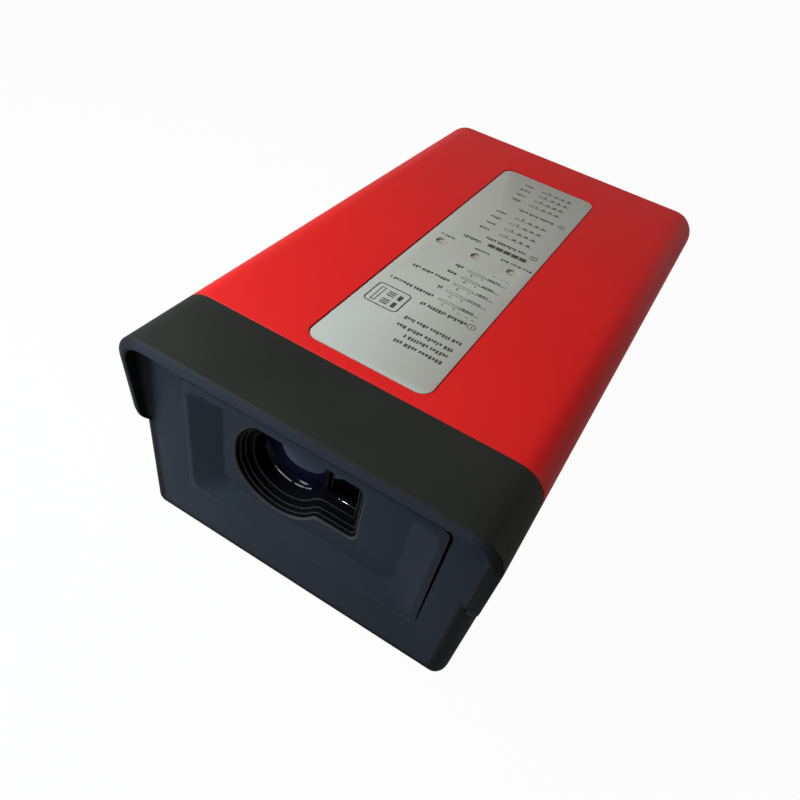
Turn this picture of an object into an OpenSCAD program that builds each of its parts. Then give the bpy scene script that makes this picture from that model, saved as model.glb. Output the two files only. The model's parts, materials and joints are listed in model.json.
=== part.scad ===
// Laser displacement sensor. A painted sleeve is closed by a visored front cap and by a rear
// cover with three round connectors. It holds the optics, the boards and their links.
// The optics look along -Y, +X is to the right seen from the front and +Z is up.
// Lengths are in millimetres, and angles in degrees.

/* [Body] */
// Width of the sleeve and the cap
body_width = 78; // [74:1:92]
// Height of the sleeve and the cap
body_height = 53; // [50:1:64]
// Front face of the cap to the rear end of the sleeve
body_length = 132.6; // [124:0.2:160]
// Radius of the two upper long edges
top_corner_r = 6.8; // [5.2:0.2:9]
// Radius of the two lower long edges
bottom_corner_r = 2.5; // [2:0.1:3.5]
// Wall of the sleeve at its sides and top
wall = 2.6; // [2.2:0.1:3]
// Thickness of the sleeve's floor, which holds the mounting threads
floor_t = 5; // [4.6:0.1:6]

/* [Front cap] */
// Front face to the seam with the sleeve
cap_depth = 14.5; // [13.5:0.1:20]
// Thickness of the cap's front wall
cap_face_t = 3; // [2.6:0.1:3.6]
// Rounding of the lower front edges
face_edge_r = 2; // [0.6:0.1:2]
// Length of the spigot that enters the sleeve
spigot_depth = 4; // [3:0.1:6]
// Wall of the spigot
spigot_wall = 1.8; // [1.4:0.1:2.2]
// Gap between the spigot and the sleeve
spigot_clearance = 0.15; // [0.05:0.05:0.3]
// Width of the seal in the spigot's groove
front_seal_w = 1.6; // [1:0.1:2.4]
// Depth of that groove
front_seal_t = 0.9; // [0.5:0.1:1.1]

/* [Visor] */
// Reach of the visor in front of the face, at the top
visor_reach = 4.2; // [3:0.1:8]
// Thickness of the visor and its side lips
visor_t = 2.2; // [1.8:0.1:3]
// Backward lean of the visor's front edge
visor_rake = 4.8; // [0:0.2:6]
// Bevel of the visor's outer front edge
visor_bevel = 1.4; // [0.4:0.1:1.6]
// Fillet between the visor and the face
visor_root_r = 1.6; // [0.6:0.1:2.2]
// Top of the body to the lower end of the side lips
lip_drop = 25.3; // [20:0.1:34]
// Rounding of the lips' lower front corner
lip_corner_r = 5.5; // [2:0.1:6]

/* [Optics bezel] */
// Left side of the body to the bezel
bezel_left_margin = 11.5; // [10.5:0.1:13]
// Right side of the body to the bezel
bezel_right_margin = 10.1; // [9.5:0.1:12]
// Top of the body to the bezel
bezel_top_margin = 7.4; // [7:0.1:9]
// Base of the body to the bezel
bezel_bottom_margin = 14.4; // [12:0.1:16]
// Corner radius of the bezel
bezel_corner_r = 1.5; // [0.8:0.1:3]
// Gap at the bezel's right side and top
bezel_gap_wide = 0.6; // [0.3:0.1:1]
// Gap at the bezel's left side and base, where it rests
bezel_gap_narrow = 0.2; // [0.1:0.05:0.3]
// Thickness of the bezel's rear flange
bezel_flange_t = 1.5; // [1:0.1:2]
// How far the flange laps behind the cap's face
bezel_flange_lap = 0.9; // [0.6:0.1:1.2]
// Thickness of the seal under the flange
bezel_seal_t = 0.5; // [0.3:0.1:0.8]

/* [Pocket and keyhole well] */
// Side edges of the bezel to the pocket's rim
pocket_side_margin = 1.3; // [0.8:0.1:3]
// Top edge of the bezel to the pocket's rim
pocket_top_margin = 1.9; // [1:0.1:3]
// Lower edge of the bezel to the pocket's rim
pocket_bottom_margin = 0.9; // [0.6:0.1:2]
// Depth of the pocket
pocket_depth = 3; // [2.4:0.1:4]
// Run of the pocket's side walls
pocket_side_run = 6; // [4:0.1:7]
// Run of the pocket's lower wall
pocket_bottom_run = 3.5; // [2:0.1:3.6]
// Run of the pocket's upper wall
pocket_top_run = 2; // [1.6:0.1:2.2]
// Corner radius of the pocket's rim
pocket_rim_r = 2.6; // [1.5:0.1:4]
// Corner radius of the pocket's floor
pocket_floor_r = 3; // [1:0.1:4]
// Radius of the round part of the well, for the receiver
receiver_r = 10.5; // [9.8:0.1:10.6]
// How far the round part is drawn out upward
receiver_rise = 1.3; // [0.8:0.1:1.5]
// Middle of the pocket to the receiver's axis, to the left
receiver_shift = 7.6; // [6:0.1:8.5]
// Receiver's axis to the right end of the well
keyhole_reach = 18.6; // [17.6:0.1:21]
// Receiver's axis to the lower edge of the well's square part
slot_drop = 5.3; // [4.5:0.1:6.5]
// Corner radius of the well's square part
keyhole_corner_r = 1.8; // [0.8:0.1:3]
// Blend between the round and the square part
keyhole_blend_r = 2; // [1:0.1:3]
// Depths of the well's ledges, from the pocket's floor inward
ledge_depths = [1, 1, 1.1, 2.2]; // [0.6:0.1:3]
// Inset of each ledge from the well's outline
ledge_insets = [0, 0.6, 1.15, 2.35]; // [0:0.05:3]
// Inset of the rear apertures from the well's outline
aperture_inset = 2.6; // [2.4:0.1:3.6]
// Thickness of the bezel's rear wall
aperture_t = 1.2; // [0.8:0.1:2]
// Wall between the receiver's and the laser's aperture
divider_t = 1.6; // [1.4:0.1:2.2]
// Wall of the bezel round the well
well_wall = 1.6; // [1:0.1:2]

/* [Label and indicators] */
// Width of the label plate
label_w = 26.2; // [22:0.2:36]
// Seam to the label
label_front_margin = 3.15; // [2:0.05:20]
// Label to the rear end of the sleeve
label_rear_margin = 16.3; // [6:0.1:30]
// Corner radius of the label
label_corner_r = 2.7; // [1:0.1:5]
// Thickness of the label plate
label_t = 0.4; // [0.2:0.1:0.5]
// Depth of the label's pocket
label_pocket_t = 0.5; // [0.2:0.1:0.8]
// Gap round the label
label_gap = 0.25; // [0.1:0.05:0.5]
// Distance between the indicator holes
led_pitch = 9; // [6:0.1:10]
// Radius of the indicator holes
led_hole_r = 1.5; // [1:0.1:2]
// Radius of the light guide's posts
guide_r = 1.3; // [0.8:0.05:1.4]
// Depth of the posts' tips below the top
guide_recess = 1.5; // [0.8:0.1:2]

/* [Optics] */
// Lap of the receiver lens behind its aperture
lens_lap = 0.5; // [0.4:0.1:0.8]
// Edge thickness of the lens
lens_edge_t = 2.4; // [1.6:0.1:3]
// Height of the lens's domed front
lens_sag = 1.6; // [0.8:0.1:1.8]
// Thickness of the lens retainer
retainer_t = 0.8; // [0.5:0.1:1.2]
// Thickness of the laser window
window_t = 1.2; // [0.8:0.1:2]
// Lap of the laser window over its aperture
window_lap = 0.5; // [0.3:0.1:0.6]
// Thickness of the chassis plate
plate_t = 2.5; // [2:0.1:3]
// Length of the receiver tube
tube_length = 32; // [26:0.5:40]
// Wall of the receiver tube round the lens
tube_wall = 1.4; // [1:0.1:2]
// Radius of the laser barrel
barrel_r = 3; // [2.6:0.1:3.1]

/* [Mounting] */
// Distance across between the mounting threads
mount_x = 50; // [40:1:54]
// Distance along between the mounting threads
mount_y = 80; // [60:1:90]
// Core radius of the mounting threads
mount_hole_r = 1.65; // [1.25:0.05:2.1]
// Depth of the mounting threads
mount_hole_depth = 4; // [3:0.1:4.2]

/* [Rear cover and connectors] */
// Thickness of the rear cover
cover_t = 3; // [2:0.1:4]
// How far the cover's outline lies inside the sleeve's
cover_inset = 1.5; // [0.8:0.1:2]
// Thickness of the flat rear seal
rear_seal_t = 0.8; // [0.4:0.1:1.2]
// Side of the body to the axis of the outer connectors
connector_margin = 17; // [15:0.5:17]
// Radius of the connectors' body in the cover
connector_body_r = 8; // [7.6:0.1:8.2]
// Flat to flat width of the connectors' collar
collar_width = 18; // [17:0.5:19]
// Thickness of that collar
collar_t = 2.5; // [1.5:0.1:4]
// Length of the connectors in front of the collar
thread_length = 9; // [7:0.5:12]
// Outer radius of the power inlet's thread
inlet_r = 6; // [5.6:0.1:6.4]
// Outer radius of the network ports
port_r = 7.4; // [7:0.1:7.8]
// Bore of the network ports
port_bore_r = 5.6; // [5.2:0.1:6]
// Radius of the connectors' inserts
insert_r = 4.25; // [4:0.05:4.6]
// Circle of the contacts
contact_circle_r = 2.75; // [2.4:0.05:2.9]
// Radius of the inlet's pins
pin_r = 0.5; // [0.4:0.05:0.6]

/* [Boards] */
// Thickness of the boards
board_t = 1.6; // [1:0.1:2]
// Main board to the underside of the sleeve's top
board_headroom = 8.4; // [7.6:0.1:9.5]
// Height of the network board above the floor
standoff_h = 7; // [5:0.5:9]
// How far the network board's sides lie inside the connector board's
network_board_inset = 0.25; // [0.25:0.25:4]

/* [Hidden] */
$fn = 64;
// Overshoot of a cutting tool past the surface that it cuts
cut = 1;
// Gap of a sliding or soldered fit between small inner pieces
fit = 0.05;
// How far a blend runs into its neighbours, so that they join
overlap = 0.02;

half_w = body_width / 2;
top_z = body_height;
cavity_top_z = body_height - wall;
cavity_half = half_w - wall;
cavity_floor_r = 1;
min_r = 0.3;
bevel_ease = 0.4;
spigot_end = cap_depth + spigot_depth;
cap_inset = spigot_clearance + spigot_wall;
seal_y0 = cap_depth + (spigot_depth - front_seal_w) / 2;
seal_y1 = seal_y0 + front_seal_w;

// The bezel's edges, its pocket and the two optical axes
bezel_x0 = bezel_left_margin - half_w;
bezel_x1 = half_w - bezel_right_margin;
bezel_z0 = bezel_bottom_margin;
bezel_z1 = body_height - bezel_top_margin;
rim_x0 = bezel_x0 + pocket_side_margin;
rim_x1 = bezel_x1 - pocket_side_margin;
rim_z0 = bezel_z0 + pocket_bottom_margin;
rim_z1 = bezel_z1 - pocket_top_margin;
lens_x = (rim_x0 + rim_x1) / 2 - receiver_shift;
lens_z = (rim_z0 + rim_z1) / 2;
aperture_r = receiver_r - aperture_inset;
lens_r = aperture_r + lens_lap;
laser_x0 = lens_x + aperture_r + divider_t;
laser_x1 = lens_x + keyhole_reach - aperture_inset;
laser_z0 = lens_z - slot_drop + aperture_inset;
laser_z1 = lens_z + aperture_r;
laser_x = (laser_x0 + laser_x1) / 2;
laser_z = (laser_z0 + laser_z1) / 2;

function sum(list, upto) = upto <= 0 ? 0 : list[upto - 1] + sum(list, upto - 1);
ledge_count = len(ledge_depths);
well_end = pocket_depth + sum(ledge_depths, ledge_count);
flange_y0 = cap_face_t + bezel_seal_t;
flange_y1 = flange_y0 + bezel_flange_t;

// Chassis: plate behind the bezel, receiver tube and foot
chassis_y0 = well_end + aperture_t;
plate_y1 = chassis_y0 + plate_t;
tube_end = chassis_y0 + tube_length;
lens_seat_r = lens_r + fit;
tube_r = lens_seat_r + tube_wall;
lens_ledge = 0.7;
tube_bore_r = lens_r - lens_ledge;
tube_rear_t = 5;
detector_r = 4.2;
detector_l = 3.6;
filter_r = 5.4;
filter_t = 1;
lens_y0 = chassis_y0 + retainer_t;
lens_y1 = lens_y0 + lens_edge_t;
barrel_y0 = chassis_y0 + window_t;
diode_flange_t = 1.2;
diode_flange_r = 2.8;
barrel_y1 = tube_end - diode_flange_t;
barrel_wall = 0.6;
barrel_bore_r = barrel_r - barrel_wall;
collimator_t = 2;
collimator_recess = 1;
laser_block_margin = 2;
chassis_gap = 0.3;
foot_half = 17;
foot_t = 6;
foot_y0 = spigot_end + chassis_gap;
foot_y1 = tube_end;
rib_half = 5;
rib_z0 = floor_t + cap_inset + chassis_gap;

// Screws: radius of shank, radius of head, height of head
m2_shank_r = 1;
m2_head_r = 1.9;
m2_head_h = 1.3;
m3_shank_r = 1.5;
m3_head_r = 2.75;
m3_head_h = 2;
socket_share = 0.5;
socket_depth = 0.6;
boss_r = 2.1;
boss_inset = 2;
boss_x = cavity_half - cap_inset - boss_inset;
boss_low_z = bezel_bottom_margin - boss_r;
boss_high_z = bezel_z1 - 2 * boss_r;
boss_screw_l = 7;
boss_places = [for (s = [-1, 1], z = [boss_low_z, boss_high_z]) [s * boss_x, z]];
floor_screw_x = 12;
floor_screw_y = (foot_y0 + foot_y1) / 2;
floor_screw_l = 9;
countersink_h = 1.5;
floor_screw_recess = 0.2;

// Sleeve: rails for the main board and channels for the rear screws
rail_t = 1.2;
rail_d = 2;
rail_gap = 0.1;
main_z0 = cavity_top_z - board_headroom;
main_z1 = main_z0 + board_t;
rail_y0 = spigot_end + chassis_gap;
channel_r = 3;
channel_inset = 2.2;
channel_x = cavity_half - channel_inset;
channel_places = [for (s = [-1, 1], z = [floor_t + channel_inset, cavity_top_z - channel_inset])
    [s * channel_x, z]];
rear_screw_grip = 8;
mount_mid_y = (cap_depth + body_length) / 2;

// Label and indicators
label_y0 = cap_depth + label_front_margin;
label_y1 = body_length - label_rear_margin;
label_floor_z = top_z - label_pocket_t;
led_y = (label_y0 + label_y1) / 2;
led_size = [3.2, 1.6, 0.8];
guide_bar_t = 2;
guide_bar_half = 2.5;
guide_gap = 0.3;

// Rear cover and connectors
cover_y0 = body_length + rear_seal_t;
cover_y1 = cover_y0 + cover_t;
washer_t = 1;
washer_wall = 1;
collar_y0 = cover_y1 + washer_t;
collar_y1 = collar_y0 + collar_t;
tip_y = collar_y1 + thread_length;
connector_z = body_height / 2;
connector_pitch = half_w - connector_margin;
inlet_x = connector_pitch;
port_places = [-connector_pitch, 0];
connector_places = concat(port_places, [inlet_x]);
nut_t = 3;
nut_width = 20;
thread_spare = 2;
insert_over = 1;
shell_y0 = cover_y0 - nut_t - thread_spare;
insert_y0 = shell_y0 - insert_over;
insert_bore_r = insert_r + fit;
inlet_face_y = collar_y1;
pin_recess = 1.5;
port_face_recess = 1;
pin_tip_y = tip_y - pin_recess;
port_face_y = tip_y - port_face_recess;
port_bore_y0 = collar_y0;
contact_count = 4;
contact_r = 0.7;
contact_bore_r = 0.42;
contact_bore_l = 6;
tail_r = 0.4;
tail_over = 0.8;

// Boards and their links
boards_gap = 6;
boards_y0 = tube_end + board_t + boards_gap;
tail_stand = 3;
connector_board_y1 = insert_y0 - tail_stand;
connector_board_y0 = connector_board_y1 - board_t;
boards_y1 = connector_board_y0 - fit;
board_side_gap = 0.3;
board_border = 2;
connector_board_half = connector_pitch + insert_r + board_border;
network_half = connector_board_half - network_board_inset;
main_half = cavity_half - board_side_gap;
network_z0 = floor_t + standoff_h;
network_z1 = network_z0 + board_t;
standoff_r = 2.5;
standoff_inset = 4;
header_room = 6;
standoff_y1 = boards_y1 - header_room - standoff_inset;
standoff_places = [for (x = [-1, 1], y = [boards_y0 + standoff_inset, standoff_y1])
    [x * (network_half - standoff_inset), y]];
board_screw_l = 5;
connector_board_z0 = network_z0;
connector_board_z1 = connector_z + insert_r + board_border;
header_half = 12;
header_l = 5;
header_h = 6;
socket_half = 9;
socket_l = 5;
socket_h = 5;
ribbon_half = 8;
ribbon_t = 0.6;
ribbon_set_back = 12;
ribbon_y = boards_y0 + ribbon_set_back;
flex_half = 4;
flex_t = 0.3;
flex_bend_r = 2.5;
flex_lap = 5;
optics_board_x0 = lens_x - tube_r - board_border;
optics_board_x1 = laser_x + barrel_r + 2 * board_border;
optics_board_half_h = tube_r + board_border;
optics_screw_ring_r = tube_bore_r;
optics_screw_l = 4;
// Chips as offset across, offset along, width, length, height
main_chips = [[0, 14, 14, 14, 1.4], [16, 12, 8, 8, 1.2], [-17, 14, 7, 7, 3], [17, -8, 9, 6, 1.5]];
network_chips_at = [[-14, 14, 13, 10, 6], [14, 14, 13, 10, 6], [0, 28, 12, 12, 1.4], [16, 30, 8, 8, 5]];

// Whole object: the box's middle lies on the origin
visor_front = visor_reach - visor_bevel * sin(visor_rake);
overall_l = visor_front + tip_y;
front_y = visor_front - overall_l / 2;

// Helpers

// Moves a piece from the front face's frame to the object's frame
module placed() {
    translate([0, front_y, 0]) children();
}

// Extrudes an XZ outline from y0 to y1
module along_y(y0, y1) {
    translate([0, y1, 0]) rotate([90, 0, 0]) linear_extrude(y1 - y0) children();
}

// Extrudes a YZ outline from x0 to x1
module along_x(x0, x1) {
    translate([x0, 0, 0]) rotate([90, 0, 90]) linear_extrude(x1 - x0) children();
}

// Round bar along Y
module rod(x, z, y0, y1, r) {
    translate([x, y1, z]) rotate([90, 0, 0]) cylinder(h = y1 - y0, r = r);
}

// Tube along Y
module tube(x, z, y0, y1, r, bore_r) {
    difference() {
        rod(x, z, y0, y1, r);
        rod(x, z, y0 - cut, y1 + cut, bore_r);
    }
}

// Hexagonal prism along Y, standing on its flats at the sides
module hexagon(x, z, y0, y1, width) {
    translate([x, y1, z]) rotate([90, 30, 0])
        cylinder(h = y1 - y0, r = width / 2 / cos(30), $fn = 6);
}

// Outline with one radius at the top and one at the base
module rounded_profile(x0, x1, z0, z1, r_top, r_base) {
    translate([x0, z0 + r_base]) square([x1 - x0, z1 - z0 - r_top - r_base]);
    translate([x0 + r_top, z1 - r_top]) square([x1 - x0 - 2 * r_top, r_top]);
    translate([x0 + r_base, z0]) square([x1 - x0 - 2 * r_base, r_base]);
    for (x = [x0 + r_top, x1 - r_top]) translate([x, z1 - r_top]) circle(r_top);
    for (x = [x0 + r_base, x1 - r_base]) translate([x, z0 + r_base]) circle(r_base);
}

// Outer outline of the body, moved inward by an inset
module body_profile(inset = 0) {
    rounded_profile(inset - half_w, half_w - inset, inset, top_z - inset,
        max(top_corner_r - inset, min_r), max(bottom_corner_r - inset, min_r));
}

// Hollow of the body, moved inward by an inset
module cavity_profile(inset = 0) {
    rounded_profile(inset - cavity_half, cavity_half - inset, floor_t + inset, cavity_top_z - inset,
        max(top_corner_r - wall - inset, min_r), cavity_floor_r);
}

// What a quarter-round of radius r leaves of its square: the sharp corner lies at the origin
module corner_sliver(r) {
    difference() {
        translate([-cut, -cut]) square(r + cut);
        translate([r, r]) circle(r);
    }
}

// Screw along Y whose head looks towards +Y, with a hexagonal socket
module screw(x, z, y_seat, length, shank_r, head_r, head_h) {
    difference() {
        union() {
            rod(x, z, y_seat - length, y_seat, shank_r);
            rod(x, z, y_seat, y_seat + head_h, head_r);
        }
        hexagon(x, z, y_seat + head_h - socket_depth, y_seat + head_h + cut, 2 * head_r * socket_share);
    }
}

// Screw along Z whose head lies on top
module upright_screw(x, y, z_seat, length, shank_r, head_r, head_h) {
    translate([x, y, z_seat]) difference() {
        union() {
            translate([0, 0, -length]) cylinder(h = length, r = shank_r);
            cylinder(h = head_h, r = head_r);
        }
        translate([0, 0, head_h - socket_depth])
            cylinder(h = socket_depth + cut, r = head_r * socket_share, $fn = 6);
    }
}

// Housing

module housing_sleeve() {
    color("firebrick") placed() difference() {
        union() {
            difference() {
                along_y(cap_depth, body_length) body_profile();
                along_y(cap_depth - cut, body_length + cut) cavity_profile();
            }
            intersection() {
                along_y(rail_y0, body_length) body_profile(fit);
                union() {
                    sleeve_rails();
                    for (p = channel_places) rod(p[0], p[1], rail_y0, body_length, channel_r);
                }
            }
        }
        for (p = channel_places)
            rod(p[0], p[1], body_length - rear_screw_grip - cut, body_length + cut, m3_shank_r + fit);
        sleeve_top_cuts();
        sleeve_floor_cuts();
    }
}

// Two ribs on each side wall, with the main board's edge between them
module sleeve_rails() {
    for (s = [-1, 1], z = [main_z0 - rail_gap - rail_t, main_z1 + rail_gap])
        translate([s > 0 ? cavity_half - rail_d : -cavity_half - fit, rail_y0, z])
            cube([rail_d + fit, body_length - rail_y0, rail_t]);
}

// Label pocket and indicator holes
module sleeve_top_cuts() {
    translate([0, 0, label_floor_z]) linear_extrude(label_pocket_t + cut) label_outline(label_gap);
    for (i = [-1:1]) translate([i * led_pitch, led_y, cavity_top_z - cut])
        cylinder(h = wall + 2 * cut, r = led_hole_r);
}

// Mounting threads and countersunk holes of the floor screws
module sleeve_floor_cuts() {
    for (x = [-1, 1], y = [-1, 1])
        translate([x * mount_x / 2, mount_mid_y + y * mount_y / 2, -cut])
            cylinder(h = mount_hole_depth + cut, r = mount_hole_r);
    for (s = [-1, 1]) translate([s * floor_screw_x, floor_screw_y, 0]) {
        translate([0, 0, -cut]) cylinder(h = floor_t + 2 * cut, r = m3_shank_r + fit);
        translate([0, 0, -cut]) cylinder(h = cut + floor_screw_recess, r = m3_head_r + fit);
        translate([0, 0, floor_screw_recess])
            cylinder(h = countersink_h, r1 = m3_head_r + fit, r2 = m3_shank_r + fit);
    }
}

module label_outline(grow = 0) {
    rounded_profile(-label_w / 2 - grow, label_w / 2 + grow, label_y0 - grow, label_y1 + grow,
        label_corner_r + grow, label_corner_r + grow);
}

module label_plate() {
    color("silver") placed() difference() {
        translate([0, 0, label_floor_z]) linear_extrude(label_t) label_outline();
        for (i = [-1:1]) translate([i * led_pitch, led_y, label_floor_z - cut])
            cylinder(h = label_t + 2 * cut, r = led_hole_r);
    }
}

// Front cap

module front_cap() {
    color("#26282a") placed() difference() {
        union() {
            difference() {
                along_y(0, cap_depth) body_profile();
                face_edge_rounding();
            }
            visor();
            along_y(cap_depth - cut, spigot_end) cavity_profile(spigot_clearance);
        }
        difference() {
            along_y(cap_face_t, spigot_end + cut) cavity_profile(cap_inset);
            for (p = boss_places) rod(p[0], p[1], 0, chassis_y0, boss_r);
        }
        along_y(-cut, cap_face_t + cut) bezel_outline(true);
        for (p = boss_places)
            rod(p[0], p[1], plate_y1 - boss_screw_l - cut, chassis_y0 + cut, m2_shank_r + fit);
        seal_groove();
    }
}

// Outline of the bezel, or of the hole in the cap that takes it
module bezel_outline(hole = false) {
    wide = hole ? bezel_gap_wide : 0;
    narrow = hole ? bezel_gap_narrow : 0;
    rounded_profile(bezel_x0 - narrow, bezel_x1 + wide, bezel_z0 - narrow, bezel_z1 + wide,
        bezel_corner_r + wide, bezel_corner_r + narrow);
}

// Cuts the quarter-round along the lower front edge and up both sides to the lips
module face_edge_rounding() {
    lip_z = top_z - lip_drop;
    r = min(face_edge_r, bottom_corner_r);
    along_x(bottom_corner_r - half_w, half_w - bottom_corner_r) corner_sliver(r);
    for (s = [0, 1]) mirror([s, 0, 0]) {
        translate([-half_w, 0, bottom_corner_r]) linear_extrude(lip_z - bottom_corner_r) corner_sliver(r);
        translate([bottom_corner_r - half_w, 0, bottom_corner_r]) rotate([-90, 0, 0]) rotate([0, 0, 90])
            rotate_extrude(angle = 90) translate([bottom_corner_r, 0]) mirror([1, 0]) corner_sliver(r);
    }
}

// Visor over the top and down both sides: a bent band with a raked and bevelled front edge
module visor() {
    difference() {
        intersection() {
            union() {
                along_y(-visor_reach - cut, cap_face_t) visor_band();
                visor_root_fillet();
            }
            along_x(-half_w, half_w) visor_side();
        }
        translate([0, -visor_reach, top_z]) rotate([visor_rake, 0, 0]) visor_bevel_tool();
    }
}

// Band between the body's outline and a smaller one
module visor_band() {
    difference() {
        body_profile();
        rounded_profile(visor_t - half_w, half_w - visor_t, -cut, top_z - visor_t,
            max(top_corner_r - visor_t, min_r), min_r);
    }
}

// Side view of the visor: raked front edge and a lower corner rounded to the face
module visor_side() {
    lip_z = top_z - lip_drop;
    lean = tan(visor_rake);
    foot = [lip_drop * lean - visor_reach, lip_z];
    centre = [(lip_drop - lip_corner_r) * lean - visor_reach + lip_corner_r / cos(visor_rake),
        lip_z + lip_corner_r];
    difference() {
        polygon([[-visor_reach, top_z], foot, [cap_face_t, lip_z], [cap_face_t, top_z]]);
        difference() {
            polygon([foot + [-cut, -cut], centre + lip_corner_r * [-cos(visor_rake), -sin(visor_rake)],
                centre, [centre[0], lip_z - cut]]);
            translate(centre) circle(lip_corner_r);
        }
    }
}

// Concave fillet between the visor's inside and the face
module visor_root_fillet() {
    in_r = max(top_corner_r - visor_t, min_r);
    r = min(visor_root_r, in_r - min_r);
    corner_z = top_z - top_corner_r;
    corner_x = half_w - top_corner_r;
    along_x(-corner_x, corner_x) translate([0, top_z - visor_t]) rotate(180) fillet_foot(r);
    for (s = [0, 1]) mirror([s, 0, 0]) {
        translate([visor_t - half_w, 0, 0]) linear_extrude(corner_z) mirror([0, 1]) fillet_foot(r);
        translate([-corner_x, 0, corner_z]) rotate([-90, 0, 0]) rotate([0, 0, 180])
            rotate_extrude(angle = 90) translate([in_r, 0]) rotate(180) fillet_foot(r);
    }
}

// Fillet section with a short root behind both of its walls, so that it joins them
module fillet_foot(r) {
    root = visor_t / 2;
    difference() {
        translate([-root, -root]) square(r + root);
        translate([r, r]) circle(r);
    }
}

// Bevel round the visor's outer front edge, in the frame of the raked front edge.
// Its corner is a little larger than the body's, so the bevel widens there.
module visor_bevel_tool() {
    r = top_corner_r + bevel_ease;
    corner_x = half_w - r;
    along_x(-corner_x, corner_x)
        polygon([[-cut, -visor_bevel - cut], [visor_bevel + cut, cut], [-cut, cut]]);
    for (s = [0, 1]) mirror([s, 0, 0]) {
        translate([0, 0, -body_height]) linear_extrude(body_height - r) translate([half_w, 0])
            bevel_section();
        translate([corner_x, 0, -r]) rotate([-90, 0, 0]) rotate([0, 0, -90])
            rotate_extrude(angle = 90) translate([r, 0]) bevel_section();
    }
}

// Triangle that the bevel takes away, with the sharp edge at the origin
module bevel_section() {
    polygon([[-visor_bevel - cut, -cut], [cut, visor_bevel + cut], [cut, -cut]]);
}

// Groove round the spigot for the front seal
module seal_groove() {
    difference() {
        along_y(seal_y0, seal_y1) body_profile(fit);
        along_y(seal_y0 - cut, seal_y1 + cut)
            cavity_profile(spigot_clearance + front_seal_t);
    }
}

module front_seal() {
    color("#202020") placed() difference() {
        along_y(seal_y0 + fit, seal_y1 - fit) cavity_profile(fit);
        along_y(seal_y0 - cut, seal_y1 + cut)
            cavity_profile(spigot_clearance + front_seal_t - fit);
    }
}

// Optics bezel

module optics_bezel() {
    color("#2b3038") placed() difference() {
        union() {
            along_y(0, flange_y0 + cut) bezel_outline();
            along_y(flange_y0, flange_y1) flange_outline();
            along_y(flange_y0, chassis_y0) keyhole(-well_wall);
        }
        pocket_hollow();
        for (i = [0:ledge_count - 1])
            along_y(pocket_depth - cut, pocket_depth + sum(ledge_depths, i + 1)) keyhole(ledge_insets[i]);
        along_y(pocket_depth, chassis_y0 + cut) apertures();
    }
}

// Rear flange with room for the cap's screw bosses
module flange_outline() {
    lap = bezel_flange_lap + bezel_gap_wide;
    difference() {
        rounded_profile(bezel_x0 - lap, bezel_x1 + lap, bezel_z0 - lap, bezel_z1 + lap,
            bezel_corner_r + lap, bezel_corner_r + lap);
        for (p = boss_places) translate(p) circle(boss_r + chassis_gap);
    }
}

// Pocket that narrows from its rim to its floor
module pocket_hollow() {
    hull() {
        along_y(-fit, 0)
            rounded_profile(rim_x0, rim_x1, rim_z0, rim_z1, pocket_rim_r, pocket_rim_r, $fn = 32);
        along_y(pocket_depth - fit, pocket_depth)
            rounded_profile(rim_x0 + pocket_side_run, rim_x1 - pocket_side_run, rim_z0 + pocket_bottom_run,
                rim_z1 - pocket_top_run, pocket_floor_r, pocket_floor_r, $fn = 32);
    }
}

// Keyhole: a raised circle with a square part on its right, level at the top and blended at the base
module keyhole(inset) {
    r = receiver_r - inset;
    top = r + receiver_rise;
    base = inset - slot_drop;
    end = keyhole_reach - inset;
    corner = max(keyhole_corner_r - inset, min_r);
    blend = max(keyhole_blend_r + inset, min_r);
    drop = base - blend + overlap;
    centre = [sqrt(pow(r + blend - overlap, 2) - pow(drop, 2)), drop];
    translate([lens_x, lens_z]) {
        for (z = [0, receiver_rise]) translate([0, z]) circle(r);
        translate([-r, 0]) square([r, receiver_rise]);
        translate([0, base]) square([end - corner, top - base]);
        translate([0, base + corner]) square([end, top - base - 2 * corner]);
        for (z = [base + corner, top - corner]) translate([end - corner, z]) circle(corner);
        difference() {
            polygon([[0, 0], centre, [centre[0], 0]]);
            translate(centre) circle(blend);
        }
    }
}

// Round aperture of the receiver and rectangular aperture of the laser
module apertures() {
    translate([lens_x, lens_z]) circle(aperture_r);
    translate([laser_x0, laser_z0]) square([laser_x1 - laser_x0, laser_z1 - laser_z0]);
}

module bezel_seal() {
    color("#202020") placed() along_y(cap_face_t, flange_y0) difference() {
        flange_outline();
        bezel_outline(true);
    }
}

// Optics behind the bezel

module receiver_lens() {
    foot_r = aperture_r - fit;
    dome_r = (pow(foot_r, 2) + pow(lens_sag, 2)) / (2 * lens_sag);
    color("midnightblue") placed() {
        rod(lens_x, lens_z, lens_y0, lens_y1, lens_r);
        intersection() {
            rod(lens_x, lens_z, lens_y0 - lens_sag - cut, lens_y0 + cut, foot_r);
            translate([lens_x, lens_y0 - lens_sag + dome_r, lens_z]) sphere(dome_r);
        }
    }
}

module lens_retainer() {
    color("#333333") placed() tube(lens_x, lens_z, chassis_y0, lens_y0, lens_r, aperture_r + fit);
}

module laser_window() {
    color("lightcyan") placed() along_y(chassis_y0, barrel_y0) window_outline(-fit);
}

module window_outline(grow = 0) {
    lap = window_lap + grow;
    translate([laser_x0 - lap, laser_z0 - lap])
        square([laser_x1 - laser_x0 + 2 * lap, laser_z1 - laser_z0 + 2 * lap]);
}

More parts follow.
